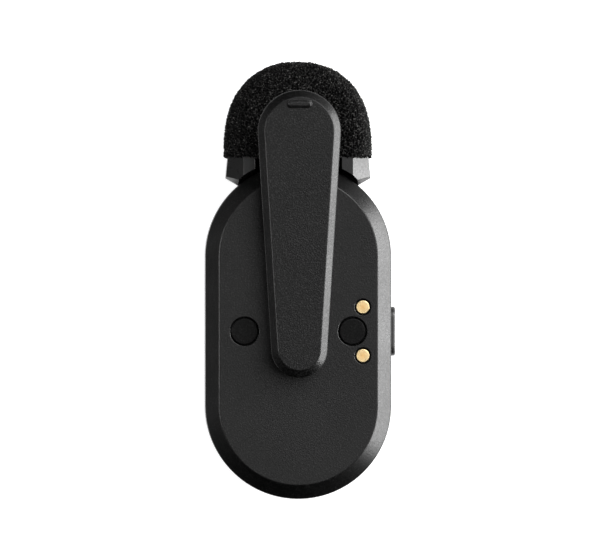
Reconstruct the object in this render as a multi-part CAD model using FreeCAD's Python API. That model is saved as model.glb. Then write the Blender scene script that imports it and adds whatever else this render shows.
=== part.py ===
import FreeCAD, Part
import math
import os

# A clip-on wireless lavalier microphone, modelled in millimetres.
# The case is a flat pill-shaped clamshell that lies on its front plate.
# Origin: centre of the front plate's outer face, which is the resting face.
# +Z points to the rear face with the clip, +Y to the microphone end, and +X to the side button.

V = FreeCAD.Vector
X = V(1, 0, 0)
Y = V(0, 1, 0)
Z = V(0, 0, 1)

# Case: two shells that meet at the part line
CASE_WIDTH = 25.0
CASE_LENGTH = 45.1
FRONT_RIM = 0.1
PART_LINE = 5.9
REAR_FACE = 11.8
BEVEL_RUN = 1.88
BEVEL_RISE = 1.5
EDGE_ROUND = 0.2
WALL = 1.2
FLOOR_THICKNESS = 1.0
LIP_THICKNESS = 0.5
LIP_HEIGHT = 0.8
LIP_GAP = 0.05
SEAM_HEIGHT = 0.3
SEAM_DEPTH = 0.3
FIT_GAP = 0.08

# Front plate and its recess
PLATE_THICKNESS = 0.6
PLATE_MARGIN = 0.5
PLATE_GAP = 0.08
PLATE_ROUND = 0.15

# Case screws, with their posts in the front shell and bosses in the rear shell
SCREW_INSET = 4.3
SCREW_BEYOND_STRAIGHT = 3.25
SCREW_RADIUS = 0.6
SCREW_HEAD_RADIUS = 1.2
SCREW_HEAD_HEIGHT = 0.8
SCREW_HEAD_SINK = 0.1
SCREW_REACH = 3.5
SCREW_DRIVE_RADIUS = 0.6
SCREW_DRIVE_DEPTH = 0.4
SCREW_HOLE_GAP = 0.1
SCREW_TIP_GAP = 0.4
THREAD_GAP = 0.02
POST_RADIUS = 1.5
POST_STEP = 0.6

# Charging port at the foot of the case
USB_HALF_WIDTH = 4.47
USB_HALF_HEIGHT = 1.63
USB_WALL = 0.3
USB_LENGTH = 7.35
USB_SINK = 0.1
USB_BACK = 0.6
TONGUE_HALF_WIDTH = 3.35
TONGUE_HALF_HEIGHT = 0.35
TONGUE_SINK = 0.9
USB_CONTACT_COUNT = 12
USB_CONTACT_PITCH = 0.5
USB_CONTACT_WIDTH = 0.25
USB_CONTACT_LENGTH = 3.6
USB_CONTACT_HEIGHT = 0.05

# Circuit board
BOARD_THICKNESS = 0.8
BOARD_WALL_GAP = 0.4
BOARD_TOP_SPACE = 7.15
BOARD_POST_GAP = 0.15
BOARD_NOTCH_GAP = 0.2
SHIELD_WIDTH = 13.0
SHIELD_LENGTH = 15.0
SHIELD_HEIGHT = 1.1
SHIELD_SHEET = 0.2
RADIO_SIZE = 5.0
RADIO_HEIGHT = 0.7
MEMORY_WIDTH = 8.0
MEMORY_LENGTH = 10.0
MEMORY_HEIGHT = 1.0
MEMORY_Y = -4.5
CODEC_SIZE = 4.0
CODEC_HEIGHT = 0.8
POWER_SIZE = 3.0
SMALL_CHIP_INSET = 2.9
SMALL_CHIP_Y = 6.0
PASSIVE_SIZE = (1.0, 0.5, 0.5)
PASSIVE_INSET = 0.6
PASSIVE_PITCH = 1.6
PASSIVE_ROWS = 5

# Status light
LED_SHIFT = 0.9
LED_SIZE = 1.0
LED_HEIGHT = 0.55
LIGHT_PIPE_RADIUS = 0.6
LIGHT_PIPE_GAP = 0.05
LIGHT_PIPE_FLANGE = 1.1
LIGHT_PIPE_FLANGE_HEIGHT = 0.4
LIGHT_PIPE_LED_GAP = 0.2

# Battery
BATTERY_SIDE_GAP = 0.6
BATTERY_END_GAP = 0.8
BATTERY_HEIGHT = 3.7
BATTERY_ROUND = 0.8
BATTERY_REST_GAP = 0.1
BATTERY_TAPE_MARGIN = 0.5
BATTERY_PAD_SIDE_MARGIN = 4.0
BATTERY_PAD_END_MARGIN = 2.0
LEAD_RADIUS = 0.25
LEAD_X = -2.6
LEAD_SPACING = 1.0
LEAD_DROP = 0.8
SOCKET_WIDTH = 3.4
SOCKET_LENGTH = 1.8
SOCKET_HEIGHT = 1.8

# Antenna, a strip on the left side wall
ANTENNA_END_SPACE = 2.05
ANTENNA_HEIGHT = 3.6
ANTENNA_SHEET = 0.15
ANTENNA_TAB_WIDTH = 1.6
ANTENNA_TAB_REACH = 1.2

# Side button and its switch
BUTTON_HALF_LENGTH = 3.33
BUTTON_RADIUS = 1.3
BUTTON_PROUD = 0.66
BUTTON_ROUND = 0.3
BUTTON_FLANGE_LIP = 0.55
BUTTON_FLANGE_THICKNESS = 0.3
BUTTON_WALL_GAP = 0.05
BUTTON_TRAVEL = 0.3
SWITCH_WIDTH = 1.6
SWITCH_LENGTH = 4.6
SWITCH_HEIGHT = 3.26
PLUNGER_RADIUS = 0.6
PLUNGER_LENGTH = 0.75
PLUNGER_IN_SWITCH = 0.3
PLUNGER_GAP = 0.05

# Dock magnets, each under a black cap in the rear face
MAGNET_INSET = 5.25
MAGNET_RADIUS = 1.6
MAGNET_THICKNESS = 1.0
CAP_RADIUS = 1.8
CAP_THICKNESS = 0.6
CAP_SINK = 0.1
CAP_ROUND = 0.15
CAP_POCKET_GAP = 0.165
CUP_WALL = 0.6
CUP_FLOOR = 0.5

# Gold charging contacts in the rear face
CONTACT_INSET = 3.86
CONTACT_Y = 3.27
CONTACT_RADIUS = 0.915
CONTACT_THICKNESS = 0.5
CONTACT_SINK = 0.08
CONTACT_ROUND = 0.1
CONTACT_RING_GAP = 0.2
CONTACT_STEM_RADIUS = 0.5
CONTACT_STEM_GAP = 0.05
CONTACT_STEM_REACH = 0.4
FLEX_SHEET = 0.15
FLEX_WIDTH = 1.2
FLEX_OUT = 0.9
FLEX_BRIDGE = 1.2
FLEX_CUP_GAP = 0.15

# Microphone neck at the top end, with the capsule inside
NECK_HALF_WIDTH = 5.3
NECK_HALF_DEPTH = 3.1
NECK_RISE = 3.35
NECK_WALL = 0.7
NECK_FLANGE_LIP = 1.1
NECK_FLANGE_THICKNESS = 0.8
NECK_WALL_GAP = 0.05
GRILLE_THICKNESS = 0.6
GRILLE_SLOT_HALF_LENGTH = 3.0
GRILLE_SLOT_RADIUS = 0.35
GRILLE_SLOT_PITCH = 1.3
MESH_THICKNESS = 0.15
BOOT_GAP = 0.05
BOOT_LENGTH = 3.8
BOOT_PORT_RADIUS = 1.3
BOOT_PORT_DEPTH = 0.75
CAPSULE_RADIUS = 2.0
CAPSULE_LENGTH = 2.0
CAPSULE_GAP = 0.02
CAPSULE_LEAD_RADIUS = 0.2
CAPSULE_LEAD_X = 0.6
RING_SECTION = 0.2
RING_PROUD = 0.08
RING_DOWN = 1.2

# Clip: bracket, pin, spring and sprung lever on the rear face
PIVOT_INSET = 6.35
PIVOT_HEIGHT = 2.8
PIN_RADIUS = 0.6
PIN_PRESS_GAP = 0.01
PIN_RUN_GAP = 0.04
PIN_SINK = 0.15
BRACKET_HALF_WIDTH = 3.5
BRACKET_HALF_LENGTH = 3.4
BRACKET_BASE = 0.8
BRACKET_EAR = 0.8
BRACKET_EAR_RADIUS = 1.45
BRACKET_ROUND = 0.6
BRACKET_SCREW_Y = 2.3
BRACKET_SCREW_RADIUS = 0.5
BRACKET_SCREW_HEAD_RADIUS = 0.9
BRACKET_SCREW_HEAD_HEIGHT = 0.5
SPRING_WIRE_RADIUS = 0.22
SPRING_RADIUS = 1.1
SPRING_TURNS = 4
SPRING_PITCH = 0.6
SPRING_LEG = 3.0
SPRING_REST_GAP = 0.02
LEVER_HEIGHT = 6.4
LEVER_SLAB = 2.0
LEVER_PRESS_REACH = 16.12
LEVER_JAW_REACH = 22.35
LEVER_TOP_RADIUS = 5.55
LEVER_FOOT_RADIUS = 3.75
LEVER_BEVEL_RUN = 0.95
LEVER_BEVEL_RISE = 0.75
LEVER_ROUND = 0.12
LEVER_SKIRT_GAP = 0.2
LEVER_SKIRT_RADIUS = 2.1
LEVER_CHANNEL_WALL = 1.4
LEVER_CHANNEL_DEPTH = 0.8
LEVER_CHANNEL_SPACE = 1.8
JAW_LENGTH = 4.95
JAW_LEAN = 1.4
PAD_THICKNESS = 0.75
PAD_GAP = 0.05
PAD_MARGIN = 0.35
PAD_TOOTH_COUNT = 4
PAD_TOOTH_DEPTH = 0.3
RIDGE_INSET = 1.85
RIDGE_HALF_LENGTH = 1.68
RIDGE_RADIUS = 0.52
RIDGE_HEIGHT = 0.4
RIDGE_ROUND = 0.36

# Windscreen: a foam dome on an eight-sided collar that pushes over the neck
COLLAR_RISE = 0.95
COLLAR_INSET = 3.03
COLLAR_FLARE = 0.27
COLLAR_DEPTH_INSET = 0.6
COLLAR_CORNER_X = 2.14
COLLAR_CORNER_Z = 2.0
COLLAR_LUG_DROP = 1.95
COLLAR_TIP_DROP = 2.95
COLLAR_SADDLE_GAP = 0.05
COLLAR_LEAN_START = 2.7
COLLAR_FOOT_LEAN = 1.0
COLLAR_SADDLE_LEAN = 0.62
COLLAR_NOTCH_SPARE = 0.3
COLLAR_NOTCH_DEPTH = 3.6
COLLAR_RIB_GAP = 0.05
COLLAR_RIB_TIP_GAP = 0.1
STUB_GAP = 0.15
STUB_WALL = 0.7
STUB_RISE = 1.0
FOAM_HEIGHT = 12.7
FOAM_OVERHANG_X = 0.3
FOAM_OVERHANG_Z = 0.4
FOAM_CORNER = 3.4
FOAM_WIDTH_POWER = 2.1
FOAM_RISE_POWER = 2.72
FOAM_LAST_ANGLE = 88.5
FOAM_SECTIONS = 12
FOAM_CEILING_GAP = 0.3

# Worked out from the sizes above
CASE_RADIUS = CASE_WIDTH / 2
CASE_END = CASE_LENGTH / 2
CASE_STRAIGHT = CASE_END - CASE_RADIUS
CAVITY_RADIUS = CASE_RADIUS - WALL
FLOOR_TOP = PLATE_THICKNESS + FLOOR_THICKNESS
ROOF = REAR_FACE - WALL
SCREW_X = CASE_RADIUS - SCREW_INSET
SCREW_Y = CASE_STRAIGHT + SCREW_BEYOND_STRAIGHT
SCREW_SEAT = PLATE_THICKNESS + SCREW_HEAD_SINK + SCREW_HEAD_HEIGHT
USB_MOUTH = USB_SINK - CASE_STRAIGHT - math.sqrt(CASE_RADIUS ** 2 - USB_HALF_WIDTH ** 2)
BUTTON_FLANGE_FACE = CAVITY_RADIUS - BUTTON_WALL_GAP
BUTTON_BACK = BUTTON_FLANGE_FACE - BUTTON_FLANGE_THICKNESS
SWITCH_FACE = BUTTON_BACK - PLUNGER_LENGTH
BOARD_TOP = PART_LINE - USB_HALF_HEIGHT
BOARD_UNDER = BOARD_TOP - BOARD_THICKNESS
BOARD_TOP_END = CASE_END - BOARD_TOP_SPACE
BATTERY_HALF_WIDTH = SWITCH_FACE - SWITCH_WIDTH - BATTERY_SIDE_GAP
BATTERY_END = SCREW_Y - POST_RADIUS - BATTERY_END_GAP
BATTERY_UNDER = BOARD_TOP + SHIELD_HEIGHT + BATTERY_REST_GAP
BATTERY_TOP = BATTERY_UNDER + BATTERY_HEIGHT
PASSIVE_COLUMN_X = BATTERY_HALF_WIDTH - PASSIVE_INSET
SMALL_CHIP_X = PASSIVE_COLUMN_X - SMALL_CHIP_INSET
LED_Y = SCREW_Y - LED_SHIFT
SOCKET_Y = SCREW_Y
MAGNET_X = CASE_RADIUS - MAGNET_INSET
CAP_POCKET_RADIUS = CAP_RADIUS + CAP_POCKET_GAP
CAP_POCKET_FLOOR = REAR_FACE - CAP_SINK - CAP_THICKNESS - MAGNET_THICKNESS
CONTACT_X = CASE_RADIUS - CONTACT_INSET
CONTACT_SEAT = REAR_FACE - CONTACT_SINK - CONTACT_THICKNESS
STEM_END = ROOF - CONTACT_STEM_REACH
NECK_START = CASE_STRAIGHT + CAVITY_RADIUS / 2
NECK_TOP = CASE_END + NECK_RISE
NECK_STRAIGHT = NECK_HALF_WIDTH - NECK_HALF_DEPTH
NECK_BORE = NECK_HALF_DEPTH - NECK_WALL
MESH_TOP = NECK_TOP - GRILLE_THICKNESS
BOOT_TOP = MESH_TOP - MESH_THICKNESS
CAPSULE_TOP = BOOT_TOP - BOOT_PORT_DEPTH
PIVOT_Y = CASE_END - PIVOT_INSET
PIVOT_Z = REAR_FACE + PIVOT_HEIGHT
LEVER_TOP_END = PIVOT_Y + LEVER_PRESS_REACH
LEVER_FOOT_END = PIVOT_Y - LEVER_JAW_REACH
LEVER_TOP = REAR_FACE + LEVER_HEIGHT
LEVER_UNDER = LEVER_TOP - LEVER_SLAB
LEVER_SKIRT_INNER = BRACKET_HALF_WIDTH + LEVER_SKIRT_GAP
JAW_INNER = LEVER_FOOT_END + JAW_LENGTH
JAW_UNDER = REAR_FACE + PAD_GAP + PAD_THICKNESS
RIDGE_Y = LEVER_TOP_END - RIDGE_INSET
COLLAR_TOP = CASE_END + COLLAR_RISE
COLLAR_HALF_WIDTH_TOP = CASE_RADIUS - COLLAR_INSET
COLLAR_HALF_WIDTH_LUG = COLLAR_HALF_WIDTH_TOP + COLLAR_FLARE
COLLAR_HALF_DEPTH = REAR_FACE / 2 - COLLAR_DEPTH_INSET
COLLAR_LUG_Y = CASE_END - COLLAR_LUG_DROP
COLLAR_TIP_Y = CASE_END - COLLAR_TIP_DROP
STUB_RADIUS = NECK_HALF_DEPTH + STUB_GAP
STUB_TOP = NECK_TOP + STUB_RISE
FOAM_HALF_WIDTH = COLLAR_HALF_WIDTH_TOP + FOAM_OVERHANG_X
FOAM_HALF_DEPTH = COLLAR_HALF_DEPTH + FOAM_OVERHANG_Z
SIDES = (-1, 1)


# Building helpers

def slot_wire(centre, half_straight, radius, along, across):
    """A closed outline of two straight sides and two half-round ends."""
    reach = along * half_straight
    side = across * radius
    tip = along * radius
    right = Part.LineSegment(centre - reach + side, centre + reach + side)
    far = Part.Arc(centre + reach + side, centre + reach + tip, centre + reach - side)
    left = Part.LineSegment(centre + reach - side, centre - reach - side)
    near = Part.Arc(centre - reach - side, centre - reach - tip, centre - reach + side)
    return Part.Wire([curve.toShape() for curve in (right, far, left, near)])


def slot_prism(centre, half_straight, radius, along, across, depth):
    return Part.Face(slot_wire(centre, half_straight, radius, along, across)).extrude(depth)


def case_outline(radius, height):
    """The pill outline of the case at one height, for any radius of its round ends."""
    return slot_wire(Z * height, CASE_STRAIGHT, radius, Y, X)


def case_prism(radius, low, high):
    return Part.Face(case_outline(radius, low)).extrude(Z * (high - low))


def case_taper(low_radius, low, high_radius, high):
    return Part.makeLoft([case_outline(low_radius, low), case_outline(high_radius, high)], True, True)


def neck_prism(radius, low, high):
    """A prism along Y with the neck's oval section, for any radius of its round ends."""
    return slot_prism(V(0, low, PART_LINE), NECK_STRAIGHT, radius, X, Z, Y * (high - low))


def centred_box(centre_x, centre_y, width, length, low, high):
    return Part.makeBox(width, length, high - low, V(centre_x - width / 2, centre_y - length / 2, low))


def disc(x, y, radius, low, high):
    return Part.makeCylinder(radius, high - low, V(x, y, low), Z)


def edges_at_height(shape, height):
    """All edges of a shape that lie flat at one height."""
    return [e for e in shape.Edges
            if abs(e.BoundBox.ZMin - height) < 1e-4 and abs(e.BoundBox.ZMax - height) < 1e-4]


def rounded(shape, radius, *heights):
    edges = [edge for height in heights for edge in edges_at_height(shape, height)]
    return shape.makeFillet(radius, edges)


def joined(first, *others):
    return first.fuse(list(others)).removeSplitter()


def less(shape, *cutters):
    return shape.cut(list(cutters))


def tube_along(points, radius):
    """A round wire through the points: straight runs joined by tangent arcs."""
    edges = []
    start = points[0]
    for before, corner, after in zip(points, points[1:], points[2:]):
        arrive = corner - before
        leave = after - corner
        half_turn = arrive.getAngle(leave) / 2
        trim = 0.45 * min(arrive.Length, leave.Length)
        bend_start = corner - arrive.normalize() * trim
        bend_end = corner + leave.normalize() * trim
        bend_radius = trim / math.tan(half_turn)
        inward = (leave - arrive).normalize()
        middle = corner + inward * (bend_radius / math.cos(half_turn) - bend_radius)
        edges.append(Part.LineSegment(start, bend_start).toShape())
        edges.append(Part.Arc(bend_start, middle, bend_end).toShape())
        start = bend_end
    edges.append(Part.LineSegment(start, points[-1]).toShape())
    section = Part.Wire(Part.makeCircle(radius, points[0], points[1] - points[0]))
    return Part.Wire(edges).makePipeShell([section], True, True)


def screw_points():
    return [(side * SCREW_X, end * SCREW_Y) for side in SIDES for end in SIDES]


# Case

def case_block():
    """The solid outer form of the closed case, bevelled all round at the front and the rear."""
    flat_radius = CASE_RADIUS - BEVEL_RUN
    front = case_taper(flat_radius, FRONT_RIM, CASE_RADIUS, FRONT_RIM + BEVEL_RISE)
    middle = case_prism(CASE_RADIUS, FRONT_RIM + BEVEL_RISE, REAR_FACE - BEVEL_RISE)
    rear = case_taper(CASE_RADIUS, REAR_FACE - BEVEL_RISE, flat_radius, REAR_FACE)
    block = joined(front, middle, rear)
    corners = (FRONT_RIM, FRONT_RIM + BEVEL_RISE, REAR_FACE - BEVEL_RISE, REAR_FACE)
    return rounded(block, EDGE_ROUND, *corners)


def case_cavity():
    """The hollow inside, which follows the outer bevels at the wall's thickness."""
    flat_radius = CAVITY_RADIUS - BEVEL_RUN
    front = case_taper(flat_radius, FLOOR_TOP, CAVITY_RADIUS, FLOOR_TOP + BEVEL_RISE)
    middle = case_prism(CAVITY_RADIUS, FLOOR_TOP + BEVEL_RISE, ROOF - BEVEL_RISE)
    rear = case_taper(CAVITY_RADIUS, ROOF - BEVEL_RISE, flat_radius, ROOF)
    return joined(front, middle, rear)


def wall_openings():
    """Cutters for the port, the neck and the button, which the part line halves."""
    port = slot_prism(V(0, -CASE_END - WALL, PART_LINE), USB_HALF_WIDTH - USB_HALF_HEIGHT,
                      USB_HALF_HEIGHT + FIT_GAP, X, Z, Y * (4 * WALL))
    neck = neck_prism(NECK_HALF_DEPTH + FIT_GAP, NECK_START, CASE_END + WALL)
    button = slot_prism(V(CAVITY_RADIUS - WALL, 0, PART_LINE), BUTTON_HALF_LENGTH - BUTTON_RADIUS,
                        BUTTON_RADIUS + FIT_GAP, Y, Z, X * (3 * WALL))
    return [port, neck, button]


def case_half(low, high):
    """One half of the hollow case between two heights."""
    span = Part.makeBox(2 * CASE_WIDTH, 2 * CASE_LENGTH, high - low, V(-CASE_WIDTH, -CASE_LENGTH, low))
    return case_block().common(span).cut(case_cavity())


def front_shell():
    lip_radius = CAVITY_RADIUS + LIP_THICKNESS
    lip_top = PART_LINE + LIP_HEIGHT
    lip = case_prism(lip_radius, PART_LINE, lip_top).cut(case_prism(CAVITY_RADIUS, PART_LINE, lip_top))
    posts = []
    holes = []
    for x, y in screw_points():
        posts.append(disc(x, y, POST_RADIUS + POST_STEP, PLATE_THICKNESS, BOARD_UNDER))
        posts.append(disc(x, y, POST_RADIUS, BOARD_UNDER, PART_LINE))
        holes.append(disc(x, y, SCREW_HEAD_RADIUS + SCREW_HOLE_GAP, PLATE_THICKNESS, SCREW_SEAT))
        holes.append(disc(x, y, SCREW_RADIUS + SCREW_HOLE_GAP, PLATE_THICKNESS, PART_LINE))
    recess_radius = CASE_RADIUS - BEVEL_RUN - PLATE_MARGIN + PLATE_GAP
    recess = case_prism(recess_radius, 0, PLATE_THICKNESS)
    light_hole = disc(0, LED_Y, LIGHT_PIPE_RADIUS + LIGHT_PIPE_GAP, 0, FLOOR_TOP)
    shell = joined(case_half(0, PART_LINE), lip, *posts)
    return less(shell, recess, light_hole, *holes, *wall_openings())


def rear_shell():
    rebate_radius = CAVITY_RADIUS + LIP_THICKNESS + LIP_GAP
    rebate = case_prism(rebate_radius, PART_LINE, PART_LINE + LIP_HEIGHT + LIP_GAP)
    seam_top = PART_LINE + SEAM_HEIGHT
    seam = case_prism(CASE_WIDTH, PART_LINE, seam_top).cut(
        case_prism(CASE_RADIUS - SEAM_DEPTH, PART_LINE, seam_top))
    added = []
    cutters = [rebate, seam]
    for x, y in screw_points():
        added.append(disc(x, y, POST_RADIUS, PART_LINE, ROOF))
        cutters.append(disc(x, y, SCREW_RADIUS + THREAD_GAP, PART_LINE, PART_LINE + SCREW_REACH + SCREW_TIP_GAP))
    for side in SIDES:
        added.append(disc(side * MAGNET_X, 0, CAP_POCKET_RADIUS + CUP_WALL,
                          CAP_POCKET_FLOOR - CUP_FLOOR, ROOF))
        cutters.append(disc(side * MAGNET_X, 0, CAP_POCKET_RADIUS, CAP_POCKET_FLOOR, REAR_FACE))
        cutters.append(disc(CONTACT_X, side * CONTACT_Y, CONTACT_RADIUS + CONTACT_RING_GAP,
                            CONTACT_SEAT, REAR_FACE))
        cutters.append(disc(CONTACT_X, side * CONTACT_Y, CONTACT_STEM_RADIUS + CONTACT_STEM_GAP,
                            ROOF, REAR_FACE))
        cutters.append(disc(0, PIVOT_Y + side * BRACKET_SCREW_Y, BRACKET_SCREW_RADIUS + THREAD_GAP,
                            ROOF, REAR_FACE))
    rebated = case_half(PART_LINE, REAR_FACE)
    bosses = [boss.common(case_block()) for boss in added]
    shell = less(rebated, *cutters[:2])
    return less(joined(shell, *bosses), *cutters[2:], *wall_openings())


def front_plate():
    plate = case_prism(CASE_RADIUS - BEVEL_RUN - PLATE_MARGIN, 0, PLATE_THICKNESS)
    return less(rounded(plate, PLATE_ROUND, 0),
                disc(0, LED_Y, LIGHT_PIPE_RADIUS + LIGHT_PIPE_GAP, 0, PLATE_THICKNESS))


def hex_prism(x, y, radius, low, high):
    corners = [V(x + radius * math.cos(math.radians(a)), y + radius * math.sin(math.radians(a)), low)
               for a in range(0, 361, 60)]
    return Part.Face(Part.makePolygon(corners)).extrude(Z * (high - low))


def case_screws():
    screws = []
    for x, y in screw_points():
        head_under = SCREW_SEAT - SCREW_HEAD_HEIGHT
        head = disc(x, y, SCREW_HEAD_RADIUS, head_under, SCREW_SEAT)
        shank = disc(x, y, SCREW_RADIUS, SCREW_SEAT, PART_LINE + SCREW_REACH)
        drive = hex_prism(x, y, SCREW_DRIVE_RADIUS, head_under, head_under + SCREW_DRIVE_DEPTH)
        screws.append(joined(head, shank).cut(drive))
    return Part.makeCompound(screws)


# Circuit board and what is soldered to it

def main_board():
    board = case_prism(CAVITY_RADIUS - BOARD_WALL_GAP, BOARD_UNDER, BOARD_TOP)
    beyond = Part.makeBox(CASE_WIDTH, CASE_LENGTH, BOARD_THICKNESS, V(-CASE_RADIUS, BOARD_TOP_END, BOARD_UNDER))
    notch_x = BUTTON_BACK - BUTTON_TRAVEL - BOARD_NOTCH_GAP
    notch_reach = BUTTON_HALF_LENGTH + BUTTON_FLANGE_LIP + BOARD_NOTCH_GAP
    notch = Part.makeBox(WALL, 2 * notch_reach, BOARD_THICKNESS, V(notch_x, -notch_reach, BOARD_UNDER))
    holes = [disc(x, y, POST_RADIUS + BOARD_POST_GAP, BOARD_UNDER, BOARD_TOP) for x, y in screw_points()]
    return less(board, beyond, notch, *holes)


def shield_can():
    can_top = BOARD_TOP + SHIELD_HEIGHT
    outer = centred_box(0, 0, SHIELD_WIDTH, SHIELD_LENGTH, BOARD_TOP, can_top)
    inner = centred_box(0, 0, SHIELD_WIDTH - 2 * SHIELD_SHEET, SHIELD_LENGTH - 2 * SHIELD_SHEET,
                        BOARD_TOP, can_top - SHIELD_SHEET)
    return outer.cut(inner)


def radio_chip():
    return centred_box(0, 0, RADIO_SIZE, RADIO_SIZE, BOARD_TOP, BOARD_TOP + RADIO_HEIGHT)


def memory_chip():
    return centred_box(0, MEMORY_Y, MEMORY_WIDTH, MEMORY_LENGTH, BOARD_UNDER - MEMORY_HEIGHT, BOARD_UNDER)


def codec_chip():
    return centred_box(-SMALL_CHIP_X, SMALL_CHIP_Y, CODEC_SIZE, CODEC_SIZE,
                       BOARD_UNDER - CODEC_HEIGHT, BOARD_UNDER)


def power_chip():
    return centred_box(SMALL_CHIP_X, SMALL_CHIP_Y, POWER_SIZE, POWER_SIZE,
                       BOARD_UNDER - CODEC_HEIGHT, BOARD_UNDER)


def board_passives():
    """Two columns of small capacitors and resistors under the board."""
    width, length, height = PASSIVE_SIZE
    rows = range(-PASSIVE_ROWS, PASSIVE_ROWS + 1)
    return Part.makeCompound([
        centred_box(side * PASSIVE_COLUMN_X, row * PASSIVE_PITCH, width, length,
                    BOARD_UNDER - height, BOARD_UNDER)
        for side in SIDES for row in rows])


def status_led():
    return centred_box(0, LED_Y, LED_SIZE, LED_SIZE, BOARD_UNDER - LED_HEIGHT, BOARD_UNDER)


def light_pipe():
    top = BOARD_UNDER - LED_HEIGHT - LIGHT_PIPE_LED_GAP
    rod = disc(0, LED_Y, LIGHT_PIPE_RADIUS, 0, top)
    flange = disc(0, LED_Y, LIGHT_PIPE_FLANGE, FLOOR_TOP, FLOOR_TOP + LIGHT_PIPE_FLANGE_HEIGHT)
    return joined(rod, flange)


# Charging port

def usb_prism(inset, low, high):
    return slot_prism(V(0, low, PART_LINE), USB_HALF_WIDTH - USB_HALF_HEIGHT,
                      USB_HALF_HEIGHT - inset, X, Z, Y * (high - low))


def usb_shell():
    back = USB_MOUTH + USB_LENGTH
    return usb_prism(0, USB_MOUTH, back).cut(usb_prism(USB_WALL, USB_MOUTH, back))


def usb_tongue():
    """The plastic insert: a block that closes the back of the port, with the tongue on it."""
    back = USB_MOUTH + USB_LENGTH
    block = usb_prism(USB_WALL, back - USB_BACK, back)
    tip = USB_MOUTH + TONGUE_SINK
    tongue = Part.makeBox(2 * TONGUE_HALF_WIDTH, back - USB_BACK - tip, 2 * TONGUE_HALF_HEIGHT,
                          V(-TONGUE_HALF_WIDTH, tip, PART_LINE - TONGUE_HALF_HEIGHT))
    return joined(block, tongue)


def usb_contacts():
    strips = []
    first = -(USB_CONTACT_COUNT - 1) * USB_CONTACT_PITCH / 2
    start = USB_MOUTH + TONGUE_SINK + USB_CONTACT_WIDTH
    for number in range(USB_CONTACT_COUNT):
        x = first + number * USB_CONTACT_PITCH - USB_CONTACT_WIDTH / 2
        for low in (PART_LINE + TONGUE_HALF_HEIGHT, PART_LINE - TONGUE_HALF_HEIGHT - USB_CONTACT_HEIGHT):
            strips.append(Part.makeBox(USB_CONTACT_WIDTH, USB_CONTACT_LENGTH, USB_CONTACT_HEIGHT,
                                       V(x, start, low)))
    return Part.makeCompound(strips)


# Battery

def battery_cell():
    cell = centred_box(0, 0, 2 * BATTERY_HALF_WIDTH, 2 * BATTERY_END, BATTERY_UNDER, BATTERY_TOP)
    upright = [e for e in cell.Edges if e.BoundBox.ZLength > BATTERY_HEIGHT / 2]
    return cell.makeFillet(BATTERY_ROUND, upright)


def battery_tape():
    return centred_box(0, 0, SHIELD_WIDTH - 2 * BATTERY_TAPE_MARGIN, SHIELD_LENGTH - 2 * BATTERY_TAPE_MARGIN,
                       BOARD_TOP + SHIELD_HEIGHT, BATTERY_UNDER)


def battery_pad():
    return centred_box(0, 0, 2 * (BATTERY_HALF_WIDTH - BATTERY_PAD_SIDE_MARGIN),
                       2 * (BATTERY_END - BATTERY_PAD_END_MARGIN), BATTERY_TOP, ROOF)


def battery_socket():
    return centred_box(LEAD_X, SOCKET_Y, SOCKET_WIDTH, SOCKET_LENGTH, BOARD_TOP, BOARD_TOP + SOCKET_HEIGHT)


def battery_lead(side):
    """One lead from the end of the cell, over and down into the socket on the board."""
    x = LEAD_X + side * LEAD_SPACING / 2
    high = BATTERY_TOP - LEAD_DROP
    low = BOARD_TOP + SOCKET_HEIGHT
    reach = SOCKET_Y - BATTERY_END
    fall = high - low
    points = [V(x, BATTERY_END, high), V(x, BATTERY_END + 0.45 * reach, high),
              V(x, BATTERY_END + 0.85 * reach, high - 0.2 * fall),
              V(x, SOCKET_Y, high - 0.55 * fall), V(x, SOCKET_Y, low)]
    return tube_along(points, LEAD_RADIUS)


# Antenna

def antenna_strip():
    wall = -CAVITY_RADIUS
    half = CASE_STRAIGHT - ANTENNA_END_SPACE
    strip = Part.makeBox(ANTENNA_SHEET, 2 * half, ANTENNA_HEIGHT, V(wall, -half, BOARD_TOP))
    tab = Part.makeBox(ANTENNA_TAB_REACH, ANTENNA_TAB_WIDTH, ANTENNA_SHEET,
                       V(wall, -ANTENNA_TAB_WIDTH / 2, BOARD_TOP))
    return joined(strip, tab)


# Side button

def button_prism(radius, low, high):
    return slot_prism(V(low, 0, PART_LINE), BUTTON_HALF_LENGTH - BUTTON_RADIUS, radius, Y, Z, X * (high - low))


def power_button():
    face = CASE_RADIUS + BUTTON_PROUD
    cap = button_prism(BUTTON_RADIUS, BUTTON_FLANGE_FACE, face)
    rim = [e for e in cap.Edges if e.BoundBox.XMin > face - 1e-4]
    flange = button_prism(BUTTON_RADIUS + BUTTON_FLANGE_LIP, BUTTON_BACK, BUTTON_FLANGE_FACE)
    return joined(cap.makeFillet(BUTTON_ROUND, rim), flange)


def switch_plunger():
    return Part.makeCylinder(PLUNGER_RADIUS, PLUNGER_LENGTH + PLUNGER_IN_SWITCH,
                             V(SWITCH_FACE - PLUNGER_IN_SWITCH, 0, PART_LINE), X)


def switch_body():
    body = Part.makeBox(SWITCH_WIDTH, SWITCH_LENGTH, SWITCH_HEIGHT,
                        V(SWITCH_FACE - SWITCH_WIDTH, -SWITCH_LENGTH / 2, BOARD_TOP))
    depth = PLUNGER_IN_SWITCH + BUTTON_TRAVEL + PLUNGER_GAP
    well = Part.makeCylinder(PLUNGER_RADIUS + PLUNGER_GAP, depth, V(SWITCH_FACE - depth, 0, PART_LINE), X)
    return body.cut(well)


# Dock magnets and contacts

def dock_magnet(side):
    return disc(side * MAGNET_X, 0, MAGNET_RADIUS, CAP_POCKET_FLOOR, CAP_POCKET_FLOOR + MAGNET_THICKNESS)


def magnet_cap(side):
    top = REAR_FACE - CAP_SINK
    return rounded(disc(side * MAGNET_X, 0, CAP_RADIUS, top - CAP_THICKNESS, top), CAP_ROUND, top)


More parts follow.
